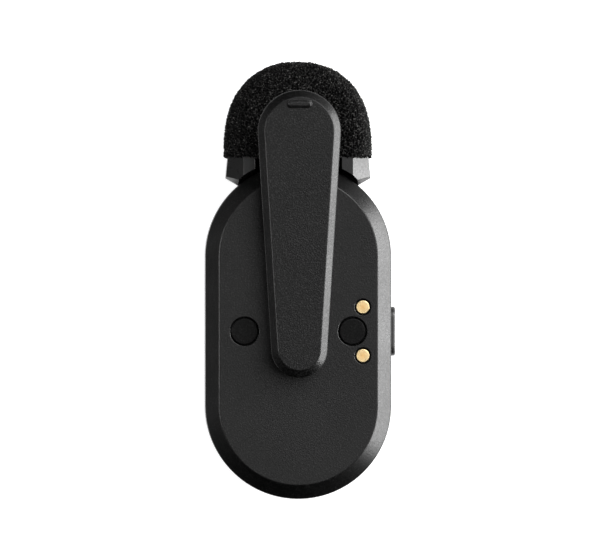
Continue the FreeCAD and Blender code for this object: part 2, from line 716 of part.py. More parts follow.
def charging_contact(end):
    top = CONTACT_SEAT + CONTACT_THICKNESS
    head = disc(CONTACT_X, end * CONTACT_Y, CONTACT_RADIUS, CONTACT_SEAT, top)
    stem = disc(CONTACT_X, end * CONTACT_Y, CONTACT_STEM_RADIUS, STEM_END, CONTACT_SEAT)
    return joined(rounded(head, CONTACT_ROUND, top), stem)


def contact_flex():
    """Thin flexible circuit from under both contacts down to the edge of the board."""
    outer = CONTACT_X + FLEX_OUT
    under = STEM_END - FLEX_SHEET
    span = 2 * CONTACT_Y + FLEX_WIDTH
    bridge_top = CAP_POCKET_FLOOR - CUP_FLOOR - FLEX_CUP_GAP
    parts = [Part.makeBox(FLEX_SHEET, span, FLEX_BRIDGE, V(outer, -span / 2, bridge_top - FLEX_BRIDGE))]
    for end in SIDES:
        y = end * CONTACT_Y - FLEX_WIDTH / 2
        parts.append(Part.makeBox(outer - CONTACT_X + CONTACT_STEM_RADIUS, FLEX_WIDTH, FLEX_SHEET,
                                  V(CONTACT_X - CONTACT_STEM_RADIUS, y, under)))
        parts.append(Part.makeBox(FLEX_SHEET, FLEX_WIDTH, STEM_END - BOARD_TOP, V(outer, y, BOARD_TOP)))
    return joined(*parts)


# Microphone neck

def mic_neck():
    tube = neck_prism(NECK_HALF_DEPTH, NECK_START, NECK_TOP)
    block = neck_prism(NECK_HALF_DEPTH + NECK_FLANGE_LIP, NECK_START, NECK_TOP)
    height = REAR_FACE - FRONT_RIM
    outside = CAVITY_RADIUS - NECK_WALL_GAP
    inside = outside - NECK_FLANGE_THICKNESS
    axis = V(0, CASE_STRAIGHT, FRONT_RIM)
    inner_round = Part.makeCylinder(inside, height, axis, Z)
    flange = block.common(Part.makeCylinder(outside, height, axis, Z)).common(case_cavity())
    neck = joined(tube, flange).cut(inner_round)
    bore = neck_prism(NECK_BORE, CASE_STRAIGHT, MESH_TOP)
    slots = [slot_prism(V(0, MESH_TOP, PART_LINE + row * GRILLE_SLOT_PITCH),
                        GRILLE_SLOT_HALF_LENGTH - GRILLE_SLOT_RADIUS, GRILLE_SLOT_RADIUS,
                        X, Z, Y * GRILLE_THICKNESS) for row in (-1, 0, 1)]
    ring_y = NECK_TOP - RING_DOWN
    groove_floor = NECK_HALF_DEPTH + RING_PROUD - 2 * RING_SECTION
    half_groove = 1.1 * RING_SECTION
    groove = neck_prism(NECK_HALF_DEPTH + RING_PROUD, ring_y - half_groove, ring_y + half_groove).cut(
        neck_prism(groove_floor, ring_y - half_groove, ring_y + half_groove))
    rim = [e for e in neck.Edges if e.BoundBox.YMin > NECK_TOP - 1e-4]
    return less(neck.makeFillet(EDGE_ROUND, rim), bore, groove, *slots)


def neck_mesh():
    return neck_prism(NECK_BORE, BOOT_TOP, MESH_TOP)


def neck_ring():
    """A rubber ring in the neck's groove that grips the windscreen."""
    ring_radius = NECK_HALF_DEPTH + RING_PROUD - RING_SECTION
    centre = V(0, NECK_TOP - RING_DOWN, PART_LINE)
    path = slot_wire(centre, NECK_STRAIGHT, ring_radius, X, Z)
    start = centre + Z * ring_radius
    section = Part.Wire(Part.makeCircle(RING_SECTION, start - X * NECK_STRAIGHT, X))
    return path.makePipeShell([section], True, True)


def capsule_boot():
    low = BOOT_TOP - BOOT_LENGTH
    boot = neck_prism(NECK_BORE - BOOT_GAP, low, BOOT_TOP)
    port = Part.makeCylinder(BOOT_PORT_RADIUS, BOOT_PORT_DEPTH, V(0, CAPSULE_TOP, PART_LINE), Y)
    bore = Part.makeCylinder(CAPSULE_RADIUS + CAPSULE_GAP, CAPSULE_TOP - low, V(0, low, PART_LINE), Y)
    return less(boot, port, bore)


def mic_capsule():
    can = Part.makeCylinder(CAPSULE_RADIUS, CAPSULE_LENGTH, V(0, CAPSULE_TOP - CAPSULE_LENGTH, PART_LINE), Y)
    inlet = Part.makeCylinder(CAPSULE_LEAD_RADIUS, CAPSULE_LENGTH / 4,
                              V(0, CAPSULE_TOP - CAPSULE_LENGTH / 4, PART_LINE), Y)
    return can.cut(inlet)


def capsule_leads():
    """Two thin wires from the back of the capsule down to the board."""
    back = CAPSULE_TOP - CAPSULE_LENGTH
    land = BOARD_TOP_END - 2 * CAPSULE_LEAD_RADIUS
    run = back - land
    drop = PART_LINE - BOARD_TOP
    leads = []
    for side in SIDES:
        x = side * CAPSULE_LEAD_X
        points = [V(x, back, PART_LINE), V(x, back - 0.3 * run, PART_LINE),
                  V(x, back - 0.62 * run, PART_LINE - 0.12 * drop),
                  V(x, back - 0.9 * run, PART_LINE - 0.45 * drop), V(x, land, BOARD_TOP)]
        leads.append(tube_along(points, CAPSULE_LEAD_RADIUS))
    board_face = centred_box(0, land, CASE_WIDTH, CASE_WIDTH, 0, BOARD_TOP)
    return Part.makeCompound([lead.cut(board_face) for lead in leads])


# Clip

def clip_bracket():
    base_top = REAR_FACE + BRACKET_BASE
    base = centred_box(0, PIVOT_Y, 2 * BRACKET_HALF_WIDTH, 2 * BRACKET_HALF_LENGTH, REAR_FACE, base_top)
    upright = [e for e in base.Edges if e.BoundBox.ZLength > BRACKET_BASE / 2]
    parts = [base.makeFillet(BRACKET_ROUND, upright)]
    for side in SIDES:
        x = side * (BRACKET_HALF_WIDTH - BRACKET_EAR / 2)
        parts.append(centred_box(x, PIVOT_Y, BRACKET_EAR, 2 * BRACKET_EAR_RADIUS, base_top, PIVOT_Z))
        parts.append(Part.makeCylinder(BRACKET_EAR_RADIUS, BRACKET_EAR,
                                       V(x - BRACKET_EAR / 2, PIVOT_Y, PIVOT_Z), X))
    bore = Part.makeCylinder(PIN_RADIUS + PIN_PRESS_GAP, 3 * BRACKET_HALF_WIDTH,
                             V(-1.5 * BRACKET_HALF_WIDTH, PIVOT_Y, PIVOT_Z), X)
    holes = [disc(0, PIVOT_Y + end * BRACKET_SCREW_Y, BRACKET_SCREW_RADIUS + THREAD_GAP,
                  REAR_FACE, base_top) for end in SIDES]
    return less(joined(*parts), bore, *holes)


def bracket_screws():
    """Two screws put in from inside the rear shell."""
    screws = []
    for end in SIDES:
        y = PIVOT_Y + end * BRACKET_SCREW_Y
        head = disc(0, y, BRACKET_SCREW_HEAD_RADIUS, ROOF - BRACKET_SCREW_HEAD_HEIGHT, ROOF)
        shank = disc(0, y, BRACKET_SCREW_RADIUS, ROOF, REAR_FACE + BRACKET_BASE)
        screws.append(joined(head, shank))
    return Part.makeCompound(screws)


def lever_lean():
    """The angle of the lever's tapering sides to its centre line."""
    top_centre = LEVER_TOP_END - LEVER_TOP_RADIUS
    foot_centre = LEVER_FOOT_END + LEVER_FOOT_RADIUS
    return math.asin((LEVER_TOP_RADIUS - LEVER_FOOT_RADIUS) / (top_centre - foot_centre))


def lever_outline(inset, height):
    """The lever's plan, a wide round end and a narrow one joined by straight sides."""
    lean = lever_lean()
    top = V(0, LEVER_TOP_END - LEVER_TOP_RADIUS, height)
    foot = V(0, LEVER_FOOT_END + LEVER_FOOT_RADIUS, height)
    top_radius = LEVER_TOP_RADIUS - inset
    foot_radius = LEVER_FOOT_RADIUS - inset
    right = V(math.cos(lean), -math.sin(lean), 0)
    left = V(-math.cos(lean), -math.sin(lean), 0)
    curves = (
        Part.LineSegment(foot + right * foot_radius, top + right * top_radius),
        Part.Arc(top + right * top_radius, top + Y * top_radius, top + left * top_radius),
        Part.LineSegment(top + left * top_radius, foot + left * foot_radius),
        Part.Arc(foot + left * foot_radius, foot - Y * foot_radius, foot + right * foot_radius),
    )
    return Part.Wire([curve.toShape() for curve in curves])


def lever_prism(inset, low, high):
    return Part.Face(lever_outline(inset, low)).extrude(Z * (high - low))


def lever_half_width(y):
    """Half the lever's width at one place along its straight sides."""
    lean = lever_lean()
    foot_centre = LEVER_FOOT_END + LEVER_FOOT_RADIUS
    return LEVER_FOOT_RADIUS / math.cos(lean) + (y - foot_centre) * math.tan(lean)


def side_profile(points):
    """A solid as wide as the case, from an outline in the YZ plane."""
    corners = [V(-CASE_RADIUS, y, z) for y, z in points]
    return Part.Face(Part.makePolygon(corners + corners[:1])).extrude(X * CASE_WIDTH)


def jaw_block():
    """The foot of the lever, which comes down to grip on the rear face."""
    foot = LEVER_FOOT_END - LEVER_FOOT_RADIUS
    form = side_profile([(JAW_INNER, LEVER_UNDER), (JAW_INNER - JAW_LEAN, JAW_UNDER),
                         (foot, JAW_UNDER), (foot, LEVER_UNDER)])
    return form.common(lever_prism(0, JAW_UNDER, LEVER_UNDER))


def lever_skirts():
    """Two round cheeks under the slab that turn on the pin, outside the bracket's ears."""
    cheek = Part.makeCylinder(LEVER_SKIRT_RADIUS, CASE_WIDTH, V(-CASE_RADIUS, PIVOT_Y, PIVOT_Z), X)
    shoulder = side_profile([(PIVOT_Y - LEVER_SKIRT_RADIUS, PIVOT_Z), (PIVOT_Y + LEVER_SKIRT_RADIUS, PIVOT_Z),
                             (PIVOT_Y + LEVER_SKIRT_RADIUS, LEVER_UNDER),
                             (PIVOT_Y - LEVER_SKIRT_RADIUS, LEVER_UNDER)])
    blank = joined(cheek, shoulder).common(lever_prism(0, REAR_FACE, LEVER_UNDER))
    return blank.cut(centred_box(0, PIVOT_Y, 2 * LEVER_SKIRT_INNER, CASE_LENGTH, REAR_FACE, LEVER_UNDER))


def thumb_ridge():
    """A short raised bar for the thumb at the press end."""
    ridge = slot_prism(V(0, RIDGE_Y, LEVER_TOP), RIDGE_HALF_LENGTH - RIDGE_RADIUS, RIDGE_RADIUS,
                       X, Y, Z * RIDGE_HEIGHT)
    return rounded(ridge, RIDGE_ROUND, LEVER_TOP + RIDGE_HEIGHT)


def clip_lever():
    shoulder = LEVER_TOP - LEVER_BEVEL_RISE
    slab = lever_prism(0, LEVER_UNDER, shoulder)
    bevel = Part.makeLoft([lever_outline(0, shoulder), lever_outline(LEVER_BEVEL_RUN, LEVER_TOP)], True, True)
    plate = rounded(joined(slab, bevel), LEVER_ROUND, shoulder, LEVER_TOP)
    channel = lever_prism(LEVER_CHANNEL_WALL, LEVER_UNDER, LEVER_UNDER + LEVER_CHANNEL_DEPTH).common(
        Part.makeBox(CASE_WIDTH, CASE_LENGTH, LEVER_HEIGHT,
                     V(-CASE_RADIUS, JAW_INNER + LEVER_CHANNEL_SPACE, REAR_FACE)))
    bore = Part.makeCylinder(PIN_RADIUS + PIN_RUN_GAP, CASE_WIDTH, V(-CASE_RADIUS, PIVOT_Y, PIVOT_Z), X)
    lever = joined(plate, jaw_block(), *lever_skirts().Solids, thumb_ridge())
    return less(lever, channel, bore)


def clip_pin():
    half = lever_half_width(PIVOT_Y) - PIN_SINK
    return Part.makeCylinder(PIN_RADIUS, 2 * half, V(-half, PIVOT_Y, PIVOT_Z), X)


def spring_leg_tilt(drop):
    """Slope in radians of a leg that leaves the coil and rests on a flat at this distance from the pin."""
    outside = SPRING_RADIUS + SPRING_WIRE_RADIUS
    reach = math.hypot(outside, SPRING_LEG)
    return math.asin((drop - SPRING_REST_GAP) / reach) - math.atan(outside / SPRING_LEG)


def clip_spring():
    """Torsion spring round the pin: its legs hold the press end up and the jaw shut."""
    lower = spring_leg_tilt(PIVOT_HEIGHT - BRACKET_BASE)
    upper = spring_leg_tilt(LEVER_UNDER + LEVER_CHANNEL_DEPTH - PIVOT_Z)
    turn = 2 * math.pi * SPRING_TURNS + math.pi - lower - upper
    length = SPRING_PITCH * turn / (2 * math.pi)
    slope = SPRING_PITCH / (2 * math.pi * SPRING_RADIUS)
    start = V(SPRING_RADIUS, 0, 0)
    start_way = V(0, 1, slope).normalize()
    end = V(SPRING_RADIUS * math.cos(turn), SPRING_RADIUS * math.sin(turn), length)
    end_way = V(-math.sin(turn), math.cos(turn), slope).normalize()
    section = Part.Wire(Part.makeCircle(SPRING_WIRE_RADIUS, start, start_way))
    coil = Part.makeHelix(SPRING_PITCH, length, SPRING_RADIUS).makePipeShell([section], True, True)
    lower_leg = Part.makeCylinder(SPRING_WIRE_RADIUS, SPRING_LEG, start, start_way * -1)
    upper_leg = Part.makeCylinder(SPRING_WIRE_RADIUS, SPRING_LEG, end, end_way)
    spring = joined(coil, lower_leg, upper_leg)
    spring.Placement = FreeCAD.Placement(FreeCAD.Matrix(
        0, 0, -1, length / 2,
        -math.sin(lower), -math.cos(lower), 0, PIVOT_Y,
        -math.cos(lower), math.sin(lower), 0, PIVOT_Z,
        0, 0, 0, 1))
    return spring


def jaw_pad():
    """A rubber pad under the jaw, grooved across so that it bites on cloth."""
    low = JAW_UNDER - PAD_THICKNESS
    inner = JAW_INNER - JAW_LEAN - PAD_MARGIN
    outer = LEVER_FOOT_END + PAD_MARGIN
    pad = lever_prism(PAD_MARGIN, low, JAW_UNDER).common(
        Part.makeBox(CASE_WIDTH, inner - outer, PAD_THICKNESS, V(-CASE_RADIUS, outer, low)))
    pitch = (inner - outer) / PAD_TOOTH_COUNT
    half = pitch / 4
    grooves = []
    for number in range(1, PAD_TOOTH_COUNT):
        y = outer + number * pitch
        grooves.append(side_profile([(y - half, low), (y, low + PAD_TOOTH_DEPTH), (y + half, low)]))
    return less(pad, *grooves)


# Windscreen

def collar_section(half_width, y):
    """The collar's eight-sided outline at one place along Y."""
    flat_x = COLLAR_HALF_WIDTH_TOP - COLLAR_CORNER_X
    flat_z = COLLAR_HALF_DEPTH - COLLAR_CORNER_Z
    quarter = [(half_width, flat_z), (flat_x, COLLAR_HALF_DEPTH)]
    around = quarter + [(-x, z) for x, z in reversed(quarter)]
    around += [(-x, -z) for x, z in around]
    corners = [V(x, y, PART_LINE + z) for x, z in around]
    return Part.makePolygon(corners + corners[:1])


def collar_foot():
    """Where the collar's two slanted lower faces meet on the centre line, and their rise per mm of width."""
    tip_x = math.sqrt(CASE_RADIUS ** 2 - (COLLAR_TIP_Y - CASE_STRAIGHT) ** 2) - COLLAR_SADDLE_GAP
    slope = (COLLAR_LUG_Y - COLLAR_TIP_Y) / (COLLAR_HALF_WIDTH_LUG - tip_x)
    return COLLAR_TIP_Y - tip_x * slope, slope


def collar_plan(height, rise):
    """The collar's outline in plan at one height, with its slanted foot raised."""
    middle_y, slope = collar_foot()
    side_y = middle_y + CASE_RADIUS * slope
    outline = [(CASE_RADIUS, COLLAR_TOP), (-CASE_RADIUS, COLLAR_TOP), (-CASE_RADIUS, side_y + rise),
               (0, middle_y + rise), (CASE_RADIUS, side_y + rise)]
    corners = [V(x, y, height) for x, y in outline]
    return Part.makePolygon(corners + corners[:1])


def collar_plan_solid():
    """The collar in plan. Its foot is upright about the part line and leans back to front and rear."""
    levels = [(PART_LINE - COLLAR_HALF_DEPTH, COLLAR_FOOT_LEAN), (PART_LINE - COLLAR_LEAN_START, 0),
              (PART_LINE + COLLAR_LEAN_START, 0), (PART_LINE + COLLAR_HALF_DEPTH, COLLAR_FOOT_LEAN)]
    plans = [collar_plan(height, rise) for height, rise in levels]
    return joined(*[Part.makeLoft(list(pair), True, True) for pair in zip(plans, plans[1:])])


def collar_notch():
    """The notch in the collar's rear that makes room for the lever's press end, down beside the neck's sleeve."""
    rear = PART_LINE + COLLAR_HALF_DEPTH
    block = centred_box(0, CASE_END, 2 * (LEVER_TOP_RADIUS + COLLAR_NOTCH_SPARE), 2 * COLLAR_RISE + CASE_RADIUS,
                        rear - COLLAR_NOTCH_DEPTH, rear)
    return block.cut(neck_prism(STUB_RADIUS + STUB_WALL, CASE_STRAIGHT, STUB_TOP))


def collar_rib(saddle):
    """A thin rib round the saddle. It sits in the case's seam and keeps light and dust out of the joint."""
    low = PART_LINE + COLLAR_RIB_GAP
    height = SEAM_HEIGHT - 2 * COLLAR_RIB_GAP
    start = V(0, CASE_STRAIGHT, low)
    inner = Part.makeCylinder(CASE_RADIUS - SEAM_DEPTH + COLLAR_RIB_TIP_GAP, height, start, Z)
    return Part.makeCylinder(saddle, height, start, Z).cut(inner)


def windscreen_collar():
    middle_y, _ = collar_foot()
    flare = COLLAR_FLARE * (COLLAR_TOP - middle_y) / (COLLAR_TOP - COLLAR_LUG_Y)
    blank = Part.makeLoft([collar_section(COLLAR_HALF_WIDTH_TOP + flare, middle_y),
                           collar_section(COLLAR_HALF_WIDTH_TOP, COLLAR_TOP)], True, True)
    saddle = CASE_RADIUS + COLLAR_SADDLE_GAP
    lean_height = COLLAR_HALF_DEPTH - COLLAR_LEAN_START
    cutters = [Part.makeCylinder(saddle, REAR_FACE, V(0, CASE_STRAIGHT, 0), Z).cut(collar_rib(saddle))]
    for way in SIDES:
        start = V(0, CASE_STRAIGHT, PART_LINE + way * COLLAR_LEAN_START)
        cutters.append(Part.makeCone(saddle, saddle + COLLAR_SADDLE_LEAN, lean_height, start, Z * way))
    stub = neck_prism(STUB_RADIUS + STUB_WALL, COLLAR_TOP, STUB_TOP)
    seat = less(blank.common(collar_plan_solid()), collar_notch(), *cutters)
    return less(joined(seat, stub), neck_prism(STUB_RADIUS, CASE_STRAIGHT, STUB_TOP))


def foam_section(scale, y):
    """A rounded rectangle, the foam's outline at one place along Y."""
    half_width = FOAM_HALF_WIDTH * scale
    half_depth = FOAM_HALF_DEPTH * scale
    corner = FOAM_CORNER * scale
    flat_x = half_width - corner
    flat_z = half_depth - corner
    diagonal = corner * math.sqrt(0.5)
    at = lambda x, z: V(x, y, PART_LINE + z)
    curves = []
    for sx, sz in ((1, 1), (-1, 1), (-1, -1), (1, -1)):
        side = at(sx * half_width, sz * flat_z)
        middle = at(sx * (flat_x + diagonal), sz * (flat_z + diagonal))
        cap = at(sx * flat_x, sz * half_depth)
        first, last = (side, cap) if sx * sz > 0 else (cap, side)
        curves.append(Part.Arc(first, middle, last).toShape())
    edges = []
    for number, arc in enumerate(curves):
        following = curves[(number + 1) % 4]
        edges.append(arc)
        edges.append(Part.LineSegment(arc.valueAt(arc.LastParameter),
                                      following.valueAt(following.FirstParameter)).toShape())
    return Part.Wire(edges)


def foam_windscreen():
    """A dome of open-cell foam. Its profile is a rounded arch, and it is hollow over the stub."""
    sections = []
    for number in range(FOAM_SECTIONS + 1):
        angle = math.radians(FOAM_LAST_ANGLE * number / FOAM_SECTIONS)
        scale = math.cos(angle) ** (2 / FOAM_WIDTH_POWER)
        height = math.sin(angle) ** (2 / FOAM_RISE_POWER)
        sections.append(foam_section(scale, COLLAR_TOP + FOAM_HEIGHT * height))
    dome = Part.makeLoft(sections, True, False)
    return dome.cut(neck_prism(STUB_RADIUS + STUB_WALL, COLLAR_TOP, STUB_TOP + FOAM_CEILING_GAP))


NODES = {
    "front_shell": front_shell,
    "rear_shell": rear_shell,
    "front_plate": front_plate,
    "case_screws": case_screws,
    "main_board": main_board,
    "shield_can": shield_can,
    "radio_chip": radio_chip,
    "memory_chip": memory_chip,
    "codec_chip": codec_chip,
    "power_chip": power_chip,
    "board_passives": board_passives,
    "status_led": status_led,
    "light_pipe": light_pipe,
    "usb_shell": usb_shell,
    "usb_tongue": usb_tongue,
    "usb_contacts": usb_contacts,
    "battery_cell": battery_cell,
    "battery_tape": battery_tape,
    "battery_pad": battery_pad,
    "battery_socket": battery_socket,
    "battery_lead_red": lambda: battery_lead(-1),
    "battery_lead_black": lambda: battery_lead(1),
    "antenna_strip": antenna_strip,
    "power_button": power_button,
    "switch_plunger": switch_plunger,
    "switch_body": switch_body,
    "magnet_left": lambda: dock_magnet(-1),
    "magnet_right": lambda: dock_magnet(1),
    "magnet_cap_left": lambda: magnet_cap(-1),
    "magnet_cap_right": lambda: magnet_cap(1),
    "charging_contact_upper": lambda: charging_contact(1),
    "charging_contact_lower": lambda: charging_contact(-1),
    "contact_flex": contact_flex,
    "mic_neck": mic_neck,
    "neck_mesh": neck_mesh,
    "neck_ring": neck_ring,
    "capsule_boot": capsule_boot,
    "mic_capsule": mic_capsule,
    "capsule_leads": capsule_leads,
    "clip_bracket": clip_bracket,
    "bracket_screws": bracket_screws,
    "clip_pin": clip_pin,
    "clip_spring": clip_spring,
    "clip_lever": clip_lever,
    "jaw_pad": jaw_pad,
    "windscreen_collar": windscreen_collar,
    "foam_windscreen": foam_windscreen,
}

os.makedirs("parts", exist_ok=True)
for node, make in NODES.items():
    make().exportStep("parts/" + node + ".step")
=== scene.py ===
import math

import bmesh
import bpy
import numpy as np
from mathutils import Matrix, Vector
from mathutils.kdtree import KDTree


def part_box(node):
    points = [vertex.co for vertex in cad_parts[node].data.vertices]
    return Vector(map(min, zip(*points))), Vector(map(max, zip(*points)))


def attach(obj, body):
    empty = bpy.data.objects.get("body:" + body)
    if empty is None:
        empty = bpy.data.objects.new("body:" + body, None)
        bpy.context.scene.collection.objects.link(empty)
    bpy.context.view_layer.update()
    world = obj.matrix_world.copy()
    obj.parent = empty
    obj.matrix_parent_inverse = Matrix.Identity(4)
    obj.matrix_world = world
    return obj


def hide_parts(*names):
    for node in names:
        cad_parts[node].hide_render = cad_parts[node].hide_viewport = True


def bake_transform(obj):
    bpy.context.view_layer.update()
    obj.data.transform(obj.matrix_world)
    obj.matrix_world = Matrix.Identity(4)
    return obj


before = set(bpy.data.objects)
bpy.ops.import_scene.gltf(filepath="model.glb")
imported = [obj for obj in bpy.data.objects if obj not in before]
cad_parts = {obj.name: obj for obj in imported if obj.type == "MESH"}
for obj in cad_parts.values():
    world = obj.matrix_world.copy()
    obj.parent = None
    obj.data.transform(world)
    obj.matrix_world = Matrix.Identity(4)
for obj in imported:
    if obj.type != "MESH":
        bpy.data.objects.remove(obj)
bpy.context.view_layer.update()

# Case shells and microphone neck
# Two injection-moulded halves of black PC/ABS meet at a shadow gap half way up. Four screws under the
# front plate hold them, and a third moulding of the same plastic, the neck, is trapped between them.
MM = 0.001
CASE_GRAIN = 0.19
CASE_RELIEF = 0.015
FLOW_LENGTH = 7.0
EDGE_REACH = 0.14
PATCH_LENGTH = 1.6
GLOSS_DRIFT = 0.03
MATT_SPREAD = 0.05
GROOVE = 0.35
EDGE_POLISH = -0.12
WALL_POLISH = -0.1
GROOVE_MATT = 0.6
RAY_SAMPLES = 8


def linear(colour):
    """An sRGB hex colour as the linear one that a shader takes."""
    parts = [int(colour[i:i + 2], 16) / 255 for i in (1, 3, 5)]
    return [c / 12.92 if c <= 0.04045 else ((c + 0.055) / 1.055) ** 2.4 for c in parts] + [1.0]


def plug(tree, made, inputs):
    """Sets a node's inputs. A node or an output socket is linked, and anything else is a plain value."""
    for name, value in inputs.items():
        if isinstance(value, bpy.types.Node):
            value = next(s for s in value.outputs if s.enabled)
        if isinstance(value, bpy.types.NodeSocket):
            tree.links.new(value, made.inputs[name])
        else:
            made.inputs[name].default_value = value


def add(tree, kind, inputs=None, **settings):
    """Adds one node with its settings and links."""
    made = tree.nodes.new("ShaderNode" + kind)
    for name, value in settings.items():
        setattr(made, name, value)
    plug(tree, made, inputs or {})
    return made


def new_finish(name):
    """A new material, its nodes, its shader, and the place on the piece in millimetres."""
    material = bpy.data.materials.new(name)
    material.use_nodes = True
    tree = material.node_tree
    place = add(tree, "TexCoord").outputs["Object"]
    millimetres = add(tree, "VectorMath", {0: place, "Scale": 1 / MM}, operation="SCALE")
    return material, tree, tree.nodes["Principled BSDF"], millimetres


def dress(material, *names):
    """Gives CAD nodes their finish, in place of the plain colour they come with."""
    for name in names:
        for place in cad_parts[name].material_slots:
            place.material = material


def worn_and_highlit_edges(tree, place, rounded):
    """A mask of the corners, broken up along their length. Fingers and pockets polish them, and the colour it
    lays on them is partly wear and partly a painted highlight.
    """
    facing = add(tree, "NewGeometry").outputs["Normal"]
    match = add(tree, "VectorMath", {0: rounded, 1: facing}, operation="DOT_PRODUCT")
    corner = add(tree, "MapRange", {"Value": match.outputs["Value"], "From Min": 0.995, "From Max": 0.86})
    patches = add(tree, "TexNoise", {"Vector": place, "Scale": 1 / PATCH_LENGTH, "Detail": 3.0})
    broken = add(tree, "MapRange", {"Value": patches, "From Min": 0.38, "From Max": 0.62, "To Min": 0.25})
    return add(tree, "Math", {0: corner, 1: broken}, operation="MULTIPLY")


def moulded(name, deep, high, edge_wear_and_highlight, grain, relief, rough, edge=EDGE_REACH, **sockets):
    """A moulded plastic: the tool's spark texture as bump and tone, a slow drift of gloss where the melt
    flowed, corners rubbed smoother and painted lighter, partly as wear and partly as a painted highlight, and
    narrow grooves left matt. Walls that slope or stand upright had to slide off the tool, so their texture is
    shallower and their corners are rounder."""
    material, tree, shader, place = new_finish(name)
    skin = add(tree, "TexNoise", {"Vector": place, "Scale": 1 / grain, "Detail": 1.0, "Roughness": 0.6})
    tone = add(tree, "MapRange", {"Value": skin, "From Min": 0.3, "From Max": 0.72})
    peaks = add(tree, "Math", {0: tone, 1: 3.0}, operation="POWER")
    colour = add(tree, "Mix", {0: peaks, 6: linear(deep), 7: linear(high)}, data_type="RGBA")
    facing = add(tree, "SeparateXYZ", {0: add(tree, "TexCoord").outputs["Normal"]}).outputs["Z"]
    level = add(tree, "Math", {0: facing}, operation="ABSOLUTE")
    radius = add(tree, "MapRange", {"Value": level, "From Min": 0.95, "From Max": 0.8,
                                    "To Min": edge * MM, "To Max": 2 * edge * MM})
    rounded = add(tree, "Bevel", {"Radius": radius}, samples=RAY_SAMPLES)
    edges = worn_and_highlit_edges(tree, place, rounded)
    # Painted highlight: the edge colour is lighter than the grain, partly real wear and partly a painted
    # highlight along the corners.
    worn_and_highlit = add(tree, "Mix", {0: edges, 6: colour, 7: linear(edge_wear_and_highlight)}, data_type="RGBA")
    flow = add(tree, "TexNoise", {"Vector": place, "Scale": 1 / FLOW_LENGTH, "Detail": 3.0})
    gloss = add(tree, "MapRange", {"Value": flow, "From Min": 0.3, "From Max": 0.7,
                                   "To Min": rough - GLOSS_DRIFT, "To Max": rough + GLOSS_DRIFT})
    dull = add(tree, "MapRange", {"Value": skin, "From Min": 0.3, "From Max": 0.7,
                                  "To Min": MATT_SPREAD, "To Max": -MATT_SPREAD})
    upright = add(tree, "MapRange", {"Value": level, "From Min": 0.5, "From Max": 0.1})
    open_sky = add(tree, "AmbientOcclusion", {"Distance": GROOVE * MM}, samples=RAY_SAMPLES).outputs["AO"]
    groove = add(tree, "MapRange", {"Value": open_sky, "From Min": 0.75, "From Max": 0.35})
    polish = add(tree, "Math", {0: gloss, 1: dull}, operation="ADD")
    for mask, change in ((edges, EDGE_POLISH), (upright, WALL_POLISH), (groove, GROOVE_MATT)):
        polish = add(tree, "Math", {0: mask, 1: change, 2: polish}, operation="MULTIPLY_ADD")
    depth = add(tree, "MapRange", {"Value": level, "From Min": 0.95, "From Max": 0.7,
                                   "To Min": 1.0, "To Max": 0.5})
    bump = add(tree, "Bump", {"Strength": depth, "Height": skin, "Distance": relief * MM, "Normal": rounded})
    plug(tree, shader, {"Base Color": worn_and_highlit, "Roughness": polish, "Normal": bump, **sockets})
    return material


# PC/ABS off a spark-eroded tool: a fine even matte grain that greys under light and breaks a highlight
# into a soft band. The real grain is about 0.08 mm and is drawn a little over twice as coarse to show.
pc_abs = moulded("spark-textured PC/ABS", "#010101", "#1e1e1e", "#141414", CASE_GRAIN, CASE_RELIEF, 0.335,
                 **{"IOR": 1.54, "Specular IOR Level": 0.3})
dress(pc_abs, "front_shell", "rear_shell", "mic_neck")

# Front plate
# A thin black polycarbonate plate stuck into the front shell over the screws. Its tool was polished
# with fine stone, so it is smoother than the shells round it.
PLATE_GRAIN = 0.35

# Stoned polycarbonate: a satin black with a faint cloudy haze and hardly any grain.
satin_pc = moulded("stoned polycarbonate", "#0b0b0c", "#151516", "#222223", PLATE_GRAIN, 0.003, 0.3,
                   **{"IOR": 1.585})
dress(satin_pc, "front_plate")

# Status light
# A tiny surface-mounted lamp under a round rod of clear polycarbonate, which brings its light through
# the front shell to the face of the plate.
HAZE_GRAIN = 0.12

# Frosted polycarbonate: milky, slightly clear, with fine haze in it.
frosted, tree, shader, place = new_finish("frosted clear polycarbonate")
haze = add(tree, "TexNoise", {"Vector": place, "Scale": 1 / HAZE_GRAIN, "Detail": 3.0})
milk = add(tree, "Mix", {0: haze, 6: linear("#c9d2d0"), 7: linear("#eef2f0")}, data_type="RGBA")
etched = add(tree, "MapRange", {"Value": haze, "To Min": 0.3, "To Max": 0.55})
frost_bump = add(tree, "Bump", {"Height": haze, "Distance": 0.004 * MM})
plug(tree, shader, {"Base Color": milk, "Roughness": etched, "Normal": frost_bump,
                    "IOR": 1.585, "Transmission Weight": 0.6})
dress(frosted, "light_pipe", "status_led")

# Circuit board
# A four-layer board of glass cloth and epoxy under green solder mask, routed to the shape of the case.
# The mask shows the tracks under it as faint raised lines.
CLOTH_PITCH = 0.5
TRACK_PITCH = 1.1


def stripes(pitch):
    """The scale at which a wave texture repeats at this pitch, in millimetres."""
    return math.pi / 10 / pitch


